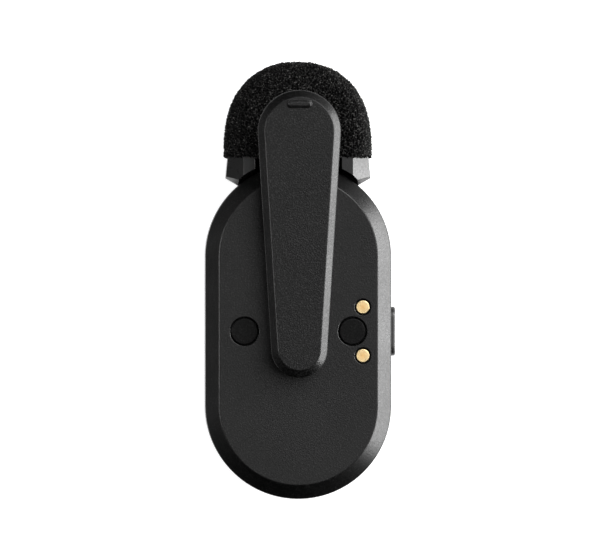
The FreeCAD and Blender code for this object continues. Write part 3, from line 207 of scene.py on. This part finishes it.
mask_board, tree, shader, place = new_finish("solder-masked glass epoxy")
warp = add(tree, "TexWave", {"Vector": place, "Scale": stripes(CLOTH_PITCH)}, bands_direction="X")
weft = add(tree, "TexWave", {"Vector": place, "Scale": stripes(CLOTH_PITCH)}, bands_direction="Y")
cloth = add(tree, "Math", {0: warp.outputs["Fac"], 1: weft.outputs["Fac"]}, operation="MULTIPLY")
tracks = add(tree, "TexBrick", {"Vector": place, "Scale": 1 / TRACK_PITCH, "Mortar Size": 0.12,
                                "Mortar Smooth": 0.3, "Brick Width": 2.3, "Row Height": 0.9})
green = add(tree, "Mix", {0: cloth, 6: linear("#0b3a22"), 7: linear("#0f4a2b")}, data_type="RGBA")
lines = add(tree, "Mix", {0: tracks.outputs["Fac"], 6: green, 7: linear("#1d6a3f")}, data_type="RGBA")
raised = add(tree, "Bump", {"Height": tracks.outputs["Fac"], "Distance": 0.02 * MM})
mask_gloss = add(tree, "MapRange", {"Value": cloth, "To Min": 0.32, "To Max": 0.42})
plug(tree, shader, {"Base Color": lines, "Roughness": mask_gloss, "Normal": raised, "IOR": 1.52})
dress(mask_board, "main_board")

# Shield can, connector shell, clip bracket, screws and pin
# Rolled stainless and tinned steel sheet, pressed to shape. The rolling leaves fine straight lines, and
# handling leaves cloudy patches.
ROLLING_LINE = 0.12
ROLLING_STRETCH = (1.0, 0.04, 1.0)
EVENLY = (1.0, 1.0, 1.0)
STAIN_LENGTH = 2.5


def drawn_metal(name, deep, high, stretch, line, rough, relief=0.003):
    """A rolled, drawn or plated metal: fine lines along one direction over slow cloudy stains."""
    material, tree, shader, place = new_finish(name)
    along = add(tree, "VectorMath", {0: place, 1: stretch}, operation="MULTIPLY")
    scratches = add(tree, "TexNoise", {"Vector": along, "Scale": 1 / line, "Detail": 3.0})
    stains = add(tree, "TexNoise", {"Vector": place, "Scale": 1 / STAIN_LENGTH, "Detail": 4.0})
    both = add(tree, "Math", {0: scratches, 1: stains}, operation="MULTIPLY")
    shade = add(tree, "MapRange", {"Value": both, "From Min": 0.1, "From Max": 0.42})
    colour = add(tree, "Mix", {0: shade, 6: linear(deep), 7: linear(high)}, data_type="RGBA")
    gloss = add(tree, "MapRange", {"Value": scratches, "From Min": 0.3, "From Max": 0.7,
                                   "To Min": rough - 0.08, "To Max": rough + 0.08})
    bump = add(tree, "Bump", {"Height": scratches, "Distance": relief * MM})
    plug(tree, shader, {"Base Color": colour, "Roughness": gloss, "Normal": bump, "Metallic": 1.0})
    return material


# Rolled stainless steel: grey with a slight warmth, its highlights drawn out along the rolling lines.
stainless = drawn_metal("rolled stainless steel", "#8d8f90", "#c9cacb", ROLLING_STRETCH, ROLLING_LINE, 0.3)
dress(stainless, "usb_shell", "shield_can", "clip_bracket")
# Drawn steel wire and headed screws: darker, with an oily black oxide left in the hollows.
spring_steel = drawn_metal("oiled spring steel", "#3a3b3d", "#7d7f82", EVENLY, 0.1, 0.34)
dress(spring_steel, "clip_pin", "case_screws", "bracket_screws")

# Clip spring
# A torsion spring of oiled steel wire, wound round the clip's pin. Its lower leg lies on the bracket and its
# upper leg bears on the lever; it is drawn at rest and stays fixed.
WIRE_RADIUS = 0.22 * MM
COIL_RADIUS = 1.1 * MM
COIL_TURNS = 4
COIL_PITCH = 0.6 * MM
LEG_LENGTH = 3.0 * MM
WIRE_END = 0.06 * MM
WIRE_SIDES = 12
STEPS_A_TURN = 32
spring_low, spring_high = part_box("clip_spring")
pin_middle = sum(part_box("clip_pin"), Vector()) / 2


def stand(name, data):
    """Puts a new object with this mesh, lamp or lens into the scene."""
    made = bpy.data.objects.new(name, data)
    bpy.context.scene.collection.objects.link(made)
    return made


def leg_tilt(drop):
    """Slope in radians of a leg that leaves the coil and ends this far from the pin's axis."""
    outside = COIL_RADIUS + WIRE_RADIUS
    return math.asin(drop / math.hypot(outside, LEG_LENGTH)) - math.atan(outside / LEG_LENGTH)


def wound_wire(lower, upper):
    """The wire as a tube: the lower leg's end, the turns about X, and the upper leg's end."""
    turn = 2 * math.pi * COIL_TURNS + math.pi - lower - upper
    steps = round(STEPS_A_TURN * turn / (2 * math.pi))
    advance = COIL_PITCH / (2 * math.pi)
    rings = []
    for k in range(steps + 1):
        at = turn * k / steps
        outward = Vector((0.0, -math.sin(at + lower), -math.cos(at + lower)))
        along = Vector((-advance, COIL_RADIUS * outward.z, -COIL_RADIUS * outward.y)).normalized()
        centre = pin_middle + outward * COIL_RADIUS + Vector((advance * (turn / 2 - at), 0.0, 0.0))
        rings.append((centre, outward, along, WIRE_RADIUS))
    for length, radius in ((LEG_LENGTH - WIRE_END, WIRE_RADIUS), (WIRE_END, WIRE_RADIUS - WIRE_END)):
        centre, outward, along, _ = rings[0]
        rings.insert(0, (centre - along * length, outward, along, radius))
        centre, outward, along, _ = rings[-1]
        rings.append((centre + along * length, outward, along, radius))
    points, faces = [], []
    for centre, outward, along, radius in rings:
        across = along.cross(outward)
        for j in range(WIRE_SIDES):
            angle = 2 * math.pi * j / WIRE_SIDES
            points.append(centre + (outward * math.cos(angle) + across * math.sin(angle)) * radius)
    for k in range(len(rings) - 1):
        for j in range(WIRE_SIDES):
            here, beside = k * WIRE_SIDES + j, k * WIRE_SIDES + (j + 1) % WIRE_SIDES
            faces.append((here, beside, beside + WIRE_SIDES, here + WIRE_SIDES))
    faces.append(tuple(reversed(range(WIRE_SIDES))))
    faces.append(tuple(range(len(points) - WIRE_SIDES, len(points))))
    mesh = bpy.data.meshes.new("clip_spring_wire")
    mesh.from_pydata(points, [], faces)
    mesh.polygons.foreach_set("use_smooth", [True] * len(faces))
    return mesh


lower_tilt = leg_tilt(pin_middle.z - spring_low.z)
upper_tilt = leg_tilt(spring_high.z - pin_middle.z)
spring = stand("clip_spring_wire", wound_wire(lower_tilt, upper_tilt))
spring.data.materials.append(spring_steel)
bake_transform(spring)
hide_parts("clip_spring")

# Chips and small passives
# Chips are dies moulded in black epoxy with glass filler. The passives are fired ceramic blocks with a
# tinned cap on each end, soldered in two columns along the board.
chip_epoxy = moulded("glass-filled epoxy", "#141517", "#2c2e30", "#333536", 0.14, 0.006, 0.5, **{"IOR": 1.55})
dress(chip_epoxy, "radio_chip", "memory_chip", "codec_chip", "power_chip")
# Fired ceramic: a warm sandy brown, dull, with a fine grain.
ceramic = moulded("fired capacitor ceramic", "#7d6347", "#ac8d69", "#b9a78c", 0.1, 0.004, 0.55,
                  **{"IOR": 1.6})
dress(ceramic, "board_passives")

# Charging port
# A steel shell round a black moulded tongue that carries gold-plated contacts on both sides. The shell
# is soldered to the board and its mouth is flush with the end of the case.
# Glass-filled liquid crystal polymer: black, dull, with short bright fibres just under its skin.
insert_plastic = moulded("glass-filled LCP", "#121212", "#2e2e2e", "#303030", 0.18, 0.006, 0.5,
                         **{"IOR": 1.6})
dress(insert_plastic, "usb_tongue", "switch_body")
# Gold over nickel on stamped strip: warm yellow, rolled lines showing through the plating.
plated_strip = drawn_metal("gold-plated strip", "#b98a3c", "#e8c272", (1.0, 0.08, 1.0), 0.1, 0.26)
dress(plated_strip, "usb_contacts")

# Battery
# A lithium pouch cell in aluminium laminate film, taped down on the shield can and held from above by
# a strip of foam. Two leads run from its folded end to a nylon socket on the board.
FILM_WRINKLE = 3.2
EMBOSS_PITCH = 0.4

# Aluminium laminate film: silver grey, satin, with soft wrinkles where the vacuum drew it in.
pouch, tree, shader, place = new_finish("aluminium laminate film")
wrinkle = add(tree, "TexNoise", {"Vector": place, "Scale": 1 / FILM_WRINKLE, "Detail": 4.0,
                                 "Distortion": 0.8})
emboss = add(tree, "TexVoronoi", {"Vector": place, "Scale": 1 / EMBOSS_PITCH}, feature="SMOOTH_F1")
silver = add(tree, "Mix", {0: wrinkle, 6: linear("#85888c"), 7: linear("#b4b7ba")}, data_type="RGBA")
sheen = add(tree, "MapRange", {"Value": wrinkle, "To Min": 0.28, "To Max": 0.5})
deep_folds = add(tree, "Bump", {"Height": wrinkle, "Distance": 0.15 * MM})
film = add(tree, "Bump", {"Height": emboss, "Distance": 0.004 * MM, "Normal": deep_folds})
plug(tree, shader, {"Base Color": silver, "Roughness": sheen, "Normal": film, "Metallic": 0.75})
dress(pouch, "battery_cell")
# Fine urethane foam tape: dark grey and velvety, with cells of about a tenth of a millimetre.
foam_tape = moulded("microcellular urethane tape", "#26272a", "#424448", "#47494d", 0.15, 0.03, 0.9,
                    **{"IOR": 1.5, "Sheen Weight": 0.2})
dress(foam_tape, "battery_tape", "battery_pad")
# Nylon: an ivory white with a slightly waxy gloss.
nylon = moulded("natural nylon", "#d6d0c0", "#eae5d8", "#efebe0", 0.3, 0.004, 0.45,
                **{"IOR": 1.53, "Subsurface Weight": 0.1, "Subsurface Scale": 0.0005})
dress(nylon, "battery_socket")
# Silicone-jacketed wire: soft, matte, with a little dust on it.
red_jacket = moulded("red silicone jacket", "#8e1512", "#ad2a24", "#b5443c", 0.2, 0.004, 0.5, **{"IOR": 1.42})
dress(red_jacket, "battery_lead_red")
black_jacket = moulded("black silicone jacket", "#121212", "#232323", "#2c2c2c", 0.2, 0.004, 0.5,
                       **{"IOR": 1.42})
dress(black_jacket, "battery_lead_black", "capsule_leads")

# Antenna and contact flex
# The antenna is a strip of bare copper sheet bent along the inside of the case. The flex is copper
# track between two films of polyimide, glued to the board end and to the stems of the contacts.
STRIP_PITCH = 0.4

# Bare copper: pink-orange, with rolled lines and darker patches where it has begun to tarnish.
copper = drawn_metal("bare rolled copper", "#8a4a2e", "#d08a62", ROLLING_STRETCH, 0.14, 0.32)
dress(copper, "antenna_strip")
flex_film, tree, shader, place = new_finish("polyimide film over copper")
strips = add(tree, "TexWave", {"Vector": place, "Scale": stripes(STRIP_PITCH)}, bands_direction="X")
track = add(tree, "MapRange", {"Value": strips.outputs["Fac"], "From Min": 0.45, "From Max": 0.6})
amber = add(tree, "Mix", {0: track, 6: linear("#7a4208"), 7: linear("#b87423")}, data_type="RGBA")
film_rise = add(tree, "Bump", {"Height": track, "Distance": 0.02 * MM})
film_gloss = add(tree, "MapRange", {"Value": track, "To Min": 0.22, "To Max": 0.32})
plug(tree, shader, {"Base Color": amber, "Roughness": film_gloss, "Normal": film_rise, "IOR": 1.7})
dress(flex_film, "contact_flex")

# Side button
# A moulded key with a flange behind the wall of the case, so that it can't fall out. It presses the
# plunger of a small side switch on the board.
# ABS off a finer tool than the case: the same black, a little glossier, with fingers' polish on it.
button_abs = moulded("fine-textured ABS", "#191919", "#292929", "#3a3a3a", 0.22, 0.006, 0.34,
                     **{"IOR": 1.54})
dress(button_abs, "power_button", "switch_plunger")

# Dock magnets and their caps
# Two nickel-plated neodymium discs sit in cups under the rear face, each behind a matt black cap
# that is glued into a shallow pocket.
# Bright nickel plate: a warm mirror with a slight orange-peel from the tumbling barrel.
nickel = drawn_metal("barrel-plated nickel", "#a39d90", "#d2ccbf", EVENLY, 0.5, 0.2)
dress(nickel, "magnet_left", "magnet_right")
# Matt black polycarbonate: a deeper black than the case, with the same fine grain.
cap_pc = moulded("matt black polycarbonate", "#010101", "#141414", "#141414", CASE_GRAIN, CASE_RELIEF, 0.44,
                 **{"IOR": 1.585, "Specular IOR Level": 0.09})
dress(cap_pc, "magnet_cap_left", "magnet_cap_right")

# Charging contacts
# Two turned brass rivets, nickel and gold plated, pressed through the rear shell. The dock's sprung
# pins touch their faces and leave small bright scuffs.
contact_low, contact_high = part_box("charging_contact_upper")
CONTACT_CENTRE = (contact_low + contact_high) / 2 / MM
CONTACT_RADIUS = contact_high.x / MM - CONTACT_CENTRE.x
TURNING_PITCH = 0.14
SCUFF_LENGTH = 0.6

# Gold-plated turned brass: warm yellow with rings from the lathe, and a painted sheen that turns it paler
# from the centre towards the rim.
turned_gold, tree, shader, place = new_finish("gold-plated turned brass")
mirrored = add(tree, "VectorMath", {0: place}, operation="ABSOLUTE")
from_centre = add(tree, "VectorMath", {0: mirrored, 1: (CONTACT_CENTRE.x, CONTACT_CENTRE.y, 0.0)},
                  operation="SUBTRACT")
lathe = add(tree, "TexWave", {"Vector": from_centre, "Scale": stripes(TURNING_PITCH),
                              "Distortion": 0.4, "Detail": 2.0}, wave_type="RINGS", rings_direction="Z")
scuffs = add(tree, "TexNoise", {"Vector": place, "Scale": 1 / SCUFF_LENGTH, "Detail": 3.0, "Distortion": 1.0})
flat_way = add(tree, "VectorMath", {0: from_centre, 1: (1.0, 1.0, 0.0)}, operation="MULTIPLY")
outward = add(tree, "VectorMath", {0: flat_way}, operation="LENGTH").outputs["Value"]
# Painted sheen: the colour grows paler from the centre towards the rim.
painted_rim_sheen = add(tree, "MapRange", {"Value": outward, "From Min": 0.1, "From Max": CONTACT_RADIUS})
gold = add(tree, "Mix", {0: painted_rim_sheen, 6: linear("#ebc284"), 7: linear("#f2dba9")}, data_type="RGBA")
scuffed = add(tree, "MapRange", {"Value": scuffs, "From Min": 0.35, "From Max": 0.65,
                                 "To Min": 0.3, "To Max": 0.34})
turned = add(tree, "Bump", {"Height": lathe.outputs["Fac"], "Distance": 0.002 * MM})
plug(tree, shader, {"Base Color": gold, "Roughness": scuffed, "Normal": turned, "Metallic": 1.0})
dress(turned_gold, "charging_contact_upper", "charging_contact_lower")

# Capsule, its boot, the neck's mesh and the windscreen's ring
# An electret capsule in a nickel-silver can is pushed into a rubber boot inside the neck. A woven steel
# mesh keeps dust out of the slots, and a rubber ring round the neck grips the windscreen.
WIRE_PITCH = 0.25

nickel_silver = drawn_metal("turned nickel silver", "#8f8a7f", "#c4bfb4", (1.0, 0.1, 1.0), 0.12, 0.28)
dress(nickel_silver, "mic_capsule")
# Woven stainless mesh: crossing bright wires with dark holes between them. The real wires are at
# 0.1 mm, and they are drawn at 0.25 mm to show.
woven, tree, shader, place = new_finish("woven stainless mesh")
across = add(tree, "TexWave", {"Vector": place, "Scale": stripes(WIRE_PITCH)}, bands_direction="X")
upward = add(tree, "TexWave", {"Vector": place, "Scale": stripes(WIRE_PITCH)}, bands_direction="Z")
wires = add(tree, "Math", {0: across.outputs["Fac"], 1: upward.outputs["Fac"]}, operation="MAXIMUM")
wire_tone = add(tree, "Mix", {0: wires, 6: linear("#0a0a0a"), 7: linear("#a9abad")}, data_type="RGBA")
wire_gloss = add(tree, "MapRange", {"Value": wires, "To Min": 0.6, "To Max": 0.3})
wire_bump = add(tree, "Bump", {"Height": wires, "Distance": 0.06 * MM})
plug(tree, shader, {"Base Color": wire_tone, "Roughness": wire_gloss, "Normal": wire_bump, "Metallic": 1.0})
dress(woven, "neck_mesh")
# Silicone rubber: a dull black that dust clings to.
silicone = moulded("black silicone rubber", "#101010", "#202020", "#262626", 0.3, 0.006, 0.62,
                   **{"IOR": 1.41})
dress(silicone, "neck_ring", "capsule_boot", "jaw_pad")

# Clip lever
# One moulding of glass-filled nylon that turns on the steel pin, against the spring. The thumb presses
# its wide end, which has a small ridge.
LEVER_RELIEF = 0.022

# Glass-filled nylon: the fibres roughen its skin, so its grain stands higher than the case's. It is drawn
# at the case's grain, about twice as coarse as it really is.
# Its edge colour is lighter, partly wear and partly a painted highlight on the lever's edges.
filled_nylon = moulded("glass-filled nylon", "#010101", "#262626", "#1f1f1f", CASE_GRAIN, LEVER_RELIEF, 0.32,
                       **{"IOR": 1.53, "Specular IOR Level": 0.24})
dress(filled_nylon, "clip_lever")

# Windscreen collar
# A moulded seat with eight sides. The foam is glued to its upper end, and its two feet straddle the
# round end of the case.
COLLAR_EDGE = 0.04

# Satin ABS: smoother than the case, with crisp corners and hardly any grain.
collar_abs = moulded("satin moulded ABS", "#030303", "#121212", "#101010", 0.2, 0.006, 0.33,
                     edge=COLLAR_EDGE, **{"IOR": 1.54, "Specular IOR Level": 0.43})
dress(collar_abs, "windscreen_collar")

# Foam windscreen
# A dome of open-cell urethane foam, moulded hollow to slip over the collar's stub. Every cell on its surface
# is cut open, so it is a crowd of small pits with struts between them; the pits are painted dark and the
# struts light, as painted shade and light.
foam_low, foam_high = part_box("foam_windscreen")
FOAM_HALF_WIDTH = (foam_high.x - foam_low.x) / 2 / MM
FOAM_HALF_DEPTH = (foam_high.z - foam_low.z) / 2 / MM
FOAM_BASE = foam_low.y / MM
FOAM_RISE = (foam_high.y - foam_low.y) / MM
FOAM_MIDDLE = (foam_high.z + foam_low.z) / 2 / MM
FOAM_CORNER = 3.4
FOAM_WIDTH_POWER = 2 / 2.1
FOAM_RISE_POWER = 2 / 2.72
HOLLOW_HALF_WIDTH = 6.15
HOLLOW_HALF_DEPTH = 3.95
HOLLOW_TOP = 27.2
HOLLOW_CORNER = HOLLOW_HALF_DEPTH - 0.01
RING_POINTS = 96
DOME_RINGS = 30
DOME_END = math.radians(88.5)
VOXEL = 0.113
CELL = 0.32
WALL_WIDTH = 0.35 * CELL
JOINT_WIDTH = 0.5 * CELL
WALL_LIGHT = 0.35
SHALLOWEST_PIT = 0.3
PIT_DEPTH = 0.34
STRUT_HEIGHT = 0.22
FRAY = 0.17
SPECK_LENGTH = 0.2
CELL_SEED = 7


def rounded_section(half_width, half_depth, corner):
    """Points round a rectangle with round corners, starting at +X and evenly spread in turn."""
    points = []
    for k in range(RING_POINTS):
        angle = 2 * math.pi * (k + 0.5) / RING_POINTS
        c, s = math.cos(angle), math.sin(angle)
        points.append((math.copysign(half_width - corner, c) + corner * c,
                       math.copysign(half_depth - corner, s) + corner * s))
    return points


def windscreen_rings():
    """The dome's rings from the base to the crown, then down the hollow from its ceiling to its mouth."""
    outer = rounded_section(FOAM_HALF_WIDTH, FOAM_HALF_DEPTH, FOAM_CORNER)
    inner = rounded_section(HOLLOW_HALF_WIDTH, HOLLOW_HALF_DEPTH, HOLLOW_CORNER)
    dome = []
    for k in range(DOME_RINGS):
        turn = DOME_END * k / (DOME_RINGS - 1)
        scale = math.cos(turn) ** FOAM_WIDTH_POWER
        height = FOAM_BASE + FOAM_RISE * math.sin(turn) ** FOAM_RISE_POWER
        dome.append([(x * scale, height, FOAM_MIDDLE + z * scale) for x, z in outer])
    hollow = [[(x, height, FOAM_MIDDLE + z) for x, z in inner] for height in (FOAM_BASE, HOLLOW_TOP)]
    return dome, hollow


def dome_mesh():
    """A closed mesh of the foam before its cells are cut, in millimetres."""
    dome, hollow = windscreen_rings()
    shape = bmesh.new()
    rings = [[shape.verts.new(p) for p in ring] for ring in [hollow[1], hollow[0], *dome]]
    for low, high in zip(rings, rings[1:]):
        for k in range(RING_POINTS):
            after = (k + 1) % RING_POINTS
            shape.faces.new((low[k], low[after], high[after], high[k]))
    shape.faces.new(rings[0])
    shape.faces.new(rings[-1])
    bmesh.ops.recalc_face_normals(shape, faces=shape.faces)
    mesh = bpy.data.meshes.new("foam_windscreen_dome")
    shape.to_mesh(mesh)
    shape.free()
    return mesh


def cut_cells(mesh):
    """Opens a cell at every seed near the surface: it sinks, its walls stay, and the joints of three walls
    stand highest. A mask that is highest on the joints and lower on the walls frays the struts and is kept on
    the mesh, where it paints the struts lighter than the pits as painted light and shade."""
    count = len(mesh.vertices)
    points = np.zeros(count * 3)
    normals = np.zeros(count * 3)
    mesh.vertices.foreach_get("co", points)
    mesh.vertices.foreach_get("normal", normals)
    points, normals = points.reshape(-1, 3), normals.reshape(-1, 3)
    chance = np.random.default_rng(CELL_SEED)
    low, high = points.min(0) - CELL, points.max(0) + CELL
    counts = np.ceil((high - low) / CELL).astype(int)
    grid = np.stack(np.meshgrid(*[np.arange(n) for n in counts], indexing="ij"), -1).reshape(-1, 3)
    seeds = low + (grid + chance.uniform(0.0, 1.0, grid.shape)) * CELL
    depth = chance.uniform(SHALLOWEST_PIT, 1.0, len(seeds))
    tree = KDTree(len(seeds))
    for k, seed in enumerate(seeds):
        tree.insert(seed, k)
    tree.balance()
    sink = np.zeros(count)
    light = np.zeros(count)
    for k, point in enumerate(points):
        (_, cell, near), (_, _, second), (_, _, third) = tree.find_n(point, 3)
        wall = max(0.0, 1 - (second - near) / WALL_WIDTH)
        joint = max(0.0, 1 - (third - near) / JOINT_WIDTH)
        sink[k] = STRUT_HEIGHT * joint - PIT_DEPTH * depth[cell] * (1 - wall)
        light[k] = max(WALL_LIGHT * wall, joint)
    points += normals * (sink + chance.uniform(-FRAY, FRAY, count) * light)[:, None]
    mesh.vertices.foreach_set("co", (points * MM).ravel())
    strut = mesh.attributes.new("strut", "FLOAT", "POINT")
    strut.data.foreach_set("value", light.astype(np.float32))
    mesh.update()


# The voxel is the size that keeps the cut foam under the limit on one piece's triangles.
blank = stand("foam_blank", dome_mesh())
remesh = blank.modifiers.new("remesh", "REMESH")
remesh.mode = "VOXEL"
remesh.voxel_size = VOXEL
bpy.context.view_layer.update()
foam_mesh = bpy.data.meshes.new_from_object(blank.evaluated_get(bpy.context.evaluated_depsgraph_get()))
bpy.data.objects.remove(blank)
cut_cells(foam_mesh)
foam_mesh.name = "foam_windscreen_cells"
foam_mesh.polygons.foreach_set("use_smooth", [True] * len(foam_mesh.polygons))
foam = stand("foam_windscreen_dome", foam_mesh)

# Open-cell urethane foam, its colour partly painted light and shade: the pits are painted black as painted
# shade, the struts charcoal, and here and there a strut end carries a pale speck as a painted highlight.
foam_finish, tree, shader, place = new_finish("open-cell urethane foam")
strut = add(tree, "Attribute", attribute_name="strut")
specks = add(tree, "TexNoise", {"Vector": place, "Scale": 1 / SPECK_LENGTH, "Detail": 2.0, "Roughness": 0.7})
bright = add(tree, "MapRange", {"Value": specks, "From Min": 0.52, "From Max": 0.7})
# Painted shade and light: the pits are painted near black and the struts lighter, and pale specks on the
# strut tips are painted highlights.
wall = add(tree, "Mix", {0: strut.outputs["Fac"], 6: linear("#010101"), 7: linear("#090909")},
           data_type="RGBA")
tips = add(tree, "MapRange", {"Value": strut.outputs["Fac"], "From Min": 0.35, "From Max": 0.9})
lit = add(tree, "Math", {0: bright, 1: tips}, operation="MULTIPLY")
foam_tone_with_painted_light = add(tree, "Mix", {0: lit, 6: wall, 7: linear("#6a6967")}, data_type="RGBA")
foam_rough = add(tree, "MapRange", {"Value": strut.outputs["Fac"], "To Min": 1.0, "To Max": 0.6})
foam_bump = add(tree, "Bump", {"Height": specks, "Distance": 0.05 * MM})
plug(tree, shader, {"Base Color": foam_tone_with_painted_light, "Roughness": foam_rough, "Normal": foam_bump,
                    "IOR": 1.5, "Specular IOR Level": 0.08})
foam_mesh.materials.append(foam_finish)
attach(foam, "windscreen")
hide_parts("foam_windscreen")

# Table
# The microphone lies on its front face on a wide white table, which looks white to the camera and in
# reflections and still takes the shadow. Under the seam between collar and case its glow is cut off for the
# camera, as a patch of painted shade, and from below the camera looks through the table.
TABLE_SIZE = 3.0
TABLE_DROP = 0.05 * MM
TABLE_GLOW = 0.8
LAMINATE_SPECKLE = 900.0
CASE_ARC_CENTRE = 10.05
CASE_ARC_RADIUS = 12.5
SEAM_SHADOW = 0.2
SEAM_HALF_WIDTH = 6.3
table_mesh = bpy.data.meshes.new("white_table")
corners = [(x * TABLE_SIZE / 2, y * TABLE_SIZE / 2, -TABLE_DROP)
           for x, y in ((-1, -1), (1, -1), (1, 1), (-1, 1))]
table_mesh.from_pydata(corners, [], [(0, 1, 2, 3)])
table = stand("white_table", table_mesh)
matt_white = bpy.data.materials.new("matt white laminate")
matt_white.use_nodes = True
tree = matt_white.node_tree
ray = add(tree, "LightPath").outputs
speckle = add(tree, "TexNoise", {"Scale": LAMINATE_SPECKLE, "Detail": 2.0})
white = add(tree, "Mix", {0: speckle, 6: linear("#c8c8c8"), 7: linear("#d2d2d2")}, data_type="RGBA")
lit_white = add(tree, "BsdfDiffuse", {"Color": white})
on_table = add(tree, "TexCoord").outputs["Object"]
spot = add(tree, "VectorMath", {0: on_table, "Scale": 1 / MM}, operation="SCALE")
# Painted shade: round the case's arc end, within the seam's width, the table gives the camera no glow.
from_arc = add(tree, "VectorMath", {0: spot, 1: (0.0, CASE_ARC_CENTRE, 0.0)}, operation="DISTANCE")
outside = add(tree, "MapRange", {"Value": from_arc.outputs["Value"],
                                 "From Min": CASE_ARC_RADIUS + SEAM_SHADOW,
                                 "From Max": CASE_ARC_RADIUS + 2 * SEAM_SHADOW})
aside = add(tree, "Math", {0: add(tree, "SeparateXYZ", {0: spot}).outputs["X"]}, operation="ABSOLUTE")
beside = add(tree, "Math", {0: aside, 1: SEAM_HALF_WIDTH}, operation="GREATER_THAN")
open_table = add(tree, "Math", {0: outside, 1: beside}, operation="MAXIMUM")
seen = add(tree, "Math", {0: ray["Is Camera Ray"], 1: open_table}, operation="MULTIPLY")
for way in ("Is Glossy Ray", "Is Transmission Ray"):
    seen = add(tree, "Math", {0: seen, 1: ray[way]}, operation="MAXIMUM")
glow = add(tree, "Emission", {"Strength": add(tree, "Math", {0: seen, 1: TABLE_GLOW}, operation="MULTIPLY")})
top_side = add(tree, "AddShader", {0: lit_white, 1: glow})
backside = add(tree, "NewGeometry").outputs["Backfacing"]
from_below = add(tree, "Math", {0: ray["Is Camera Ray"], 1: backside}, operation="MULTIPLY")
one_way = add(tree, "MixShader", {0: from_below, 1: top_side, 2: add(tree, "BsdfTransparent")})
plug(tree, tree.nodes["Material Output"], {"Surface": one_way})
table_mesh.materials.append(matt_white)

# Studio light
# A wide softbox low on the right edges the bevels, a square one stands high at the upper right, and a
# small one on the left draws the rims there.
SUBJECT = Vector((0.0, 5.0, 10.0)) * MM


def softbox(name, azimuth, elevation, distance, size, watts):
    """A rectangular lamp that faces the subject. Azimuth 0 is +X and turns towards +Y."""
    turn, lift = math.radians(azimuth), math.radians(elevation)
    away = Vector((math.cos(turn) * math.cos(lift), math.sin(turn) * math.cos(lift), math.sin(lift)))
    lamp = bpy.data.lights.new(name, "AREA")
    lamp.shape = "RECTANGLE"
    lamp.size, lamp.size_y = size
    lamp.energy = watts
    lamp_object = stand(name, lamp)
    lamp_object.location = SUBJECT + away * distance
    lamp_object.rotation_mode = "QUATERNION"
    lamp_object.rotation_quaternion = away.to_track_quat("Z", "Y")


softbox("edge_softbox", 0, 13, 0.6, (0.72, 0.24), 9.9)
softbox("top_softbox", 50, 50, 0.7, (0.35, 0.35), 2.2)
softbox("rim_softbox", 175, 42, 0.7, (0.25, 0.25), 2.3)

# Black cards stand out of the picture on three sides, as for any black product. They keep the bevels
# there dark against the flat faces.
black_card = bpy.data.materials.new("black velvet card")
black_card.use_nodes = True
tree = black_card.node_tree
pile = add(tree, "TexNoise", {"Scale": 2000.0})
velvet = add(tree, "Mix", {0: pile, 6: linear("#020202"), 7: linear("#0a0a0a")}, data_type="RGBA")
plug(tree, tree.nodes["Principled BSDF"], {"Base Color": velvet, "Roughness": 1.0, "Specular IOR Level": 0.0})
for name, height, ends in (("card_below", 0.03, ((-0.045, -0.038), (0.045, -0.038))),
                           ("card_left", 0.045, ((-0.08, -0.065), (-0.08, 0.06))),
                           ("card_above", 0.045, ((-0.08, 0.09), (0.02, 0.09)))):
    card_mesh = bpy.data.meshes.new(name)
    card_mesh.from_pydata([(x, y, z) for z in (0.0, height) for x, y in ends], [], [(0, 1, 3, 2)])
    card_mesh.materials.append(black_card)
    card = stand(name, card_mesh)
    card.visible_camera = False

# The room is dim. A bright diffuser over the table, towards the upper right, gives the flat faces their
# tone and drops the lever's shadow to the lower left. The camera alone sees the room as white.
KEY_WAY = Vector((0.38, 0.3, 0.875)).normalized()
KEY_SPREAD = math.radians(20)
KEY_FADE = math.radians(30)
KEY_LEVEL = 2.5
ROOM_LEVEL = 0.07
world = bpy.data.worlds.new("studio_room")
world.use_nodes = True
bpy.context.scene.world = world
tree = world.node_tree
towards = add(tree, "TexCoord").outputs["Generated"]
near_key = add(tree, "VectorMath", {0: towards, 1: KEY_WAY}, operation="DOT_PRODUCT").outputs["Value"]
shade = add(tree, "MapRange", {"Value": near_key,
                               "From Min": math.cos(KEY_FADE), "From Max": math.cos(KEY_SPREAD),
                               "To Min": ROOM_LEVEL, "To Max": KEY_LEVEL}, interpolation_type="SMOOTHSTEP")
seen = add(tree, "Math", {0: shade, 1: add(tree, "LightPath").outputs["Is Camera Ray"]}, operation="MAXIMUM")
plug(tree, tree.nodes["Background"], {"Color": (1.0, 1.0, 1.0, 1.0), "Strength": seen})

# Camera
# A long lens looks down on the rear face, leaning about one degree to the left.
CAMERA_DISTANCE = 1.5
CAMERA_LEAN = math.radians(1.2)
VIEW_WIDTH = 80.6 * MM
VIEW_CENTRE = Vector((0.2, 6.9, 11.8)) * MM
back = Vector((-math.sin(CAMERA_LEAN), 0.0, math.cos(CAMERA_LEAN)))
right = Vector((0.0, 1.0, 0.0)).cross(back).normalized()
upright = back.cross(right)
lens = bpy.data.cameras.new("camera")
lens.sensor_fit = "HORIZONTAL"
lens.sensor_width = 36.0
lens.lens = lens.sensor_width * CAMERA_DISTANCE / VIEW_WIDTH
lens.clip_start = 0.01
camera = stand("camera", lens)
camera.matrix_world = Matrix.Translation(VIEW_CENTRE + back * CAMERA_DISTANCE) @ Matrix(
    (right, upright, back)).transposed().to_4x4()
bpy.context.scene.camera = camera

bpy.context.scene.view_settings.view_transform = "Standard"
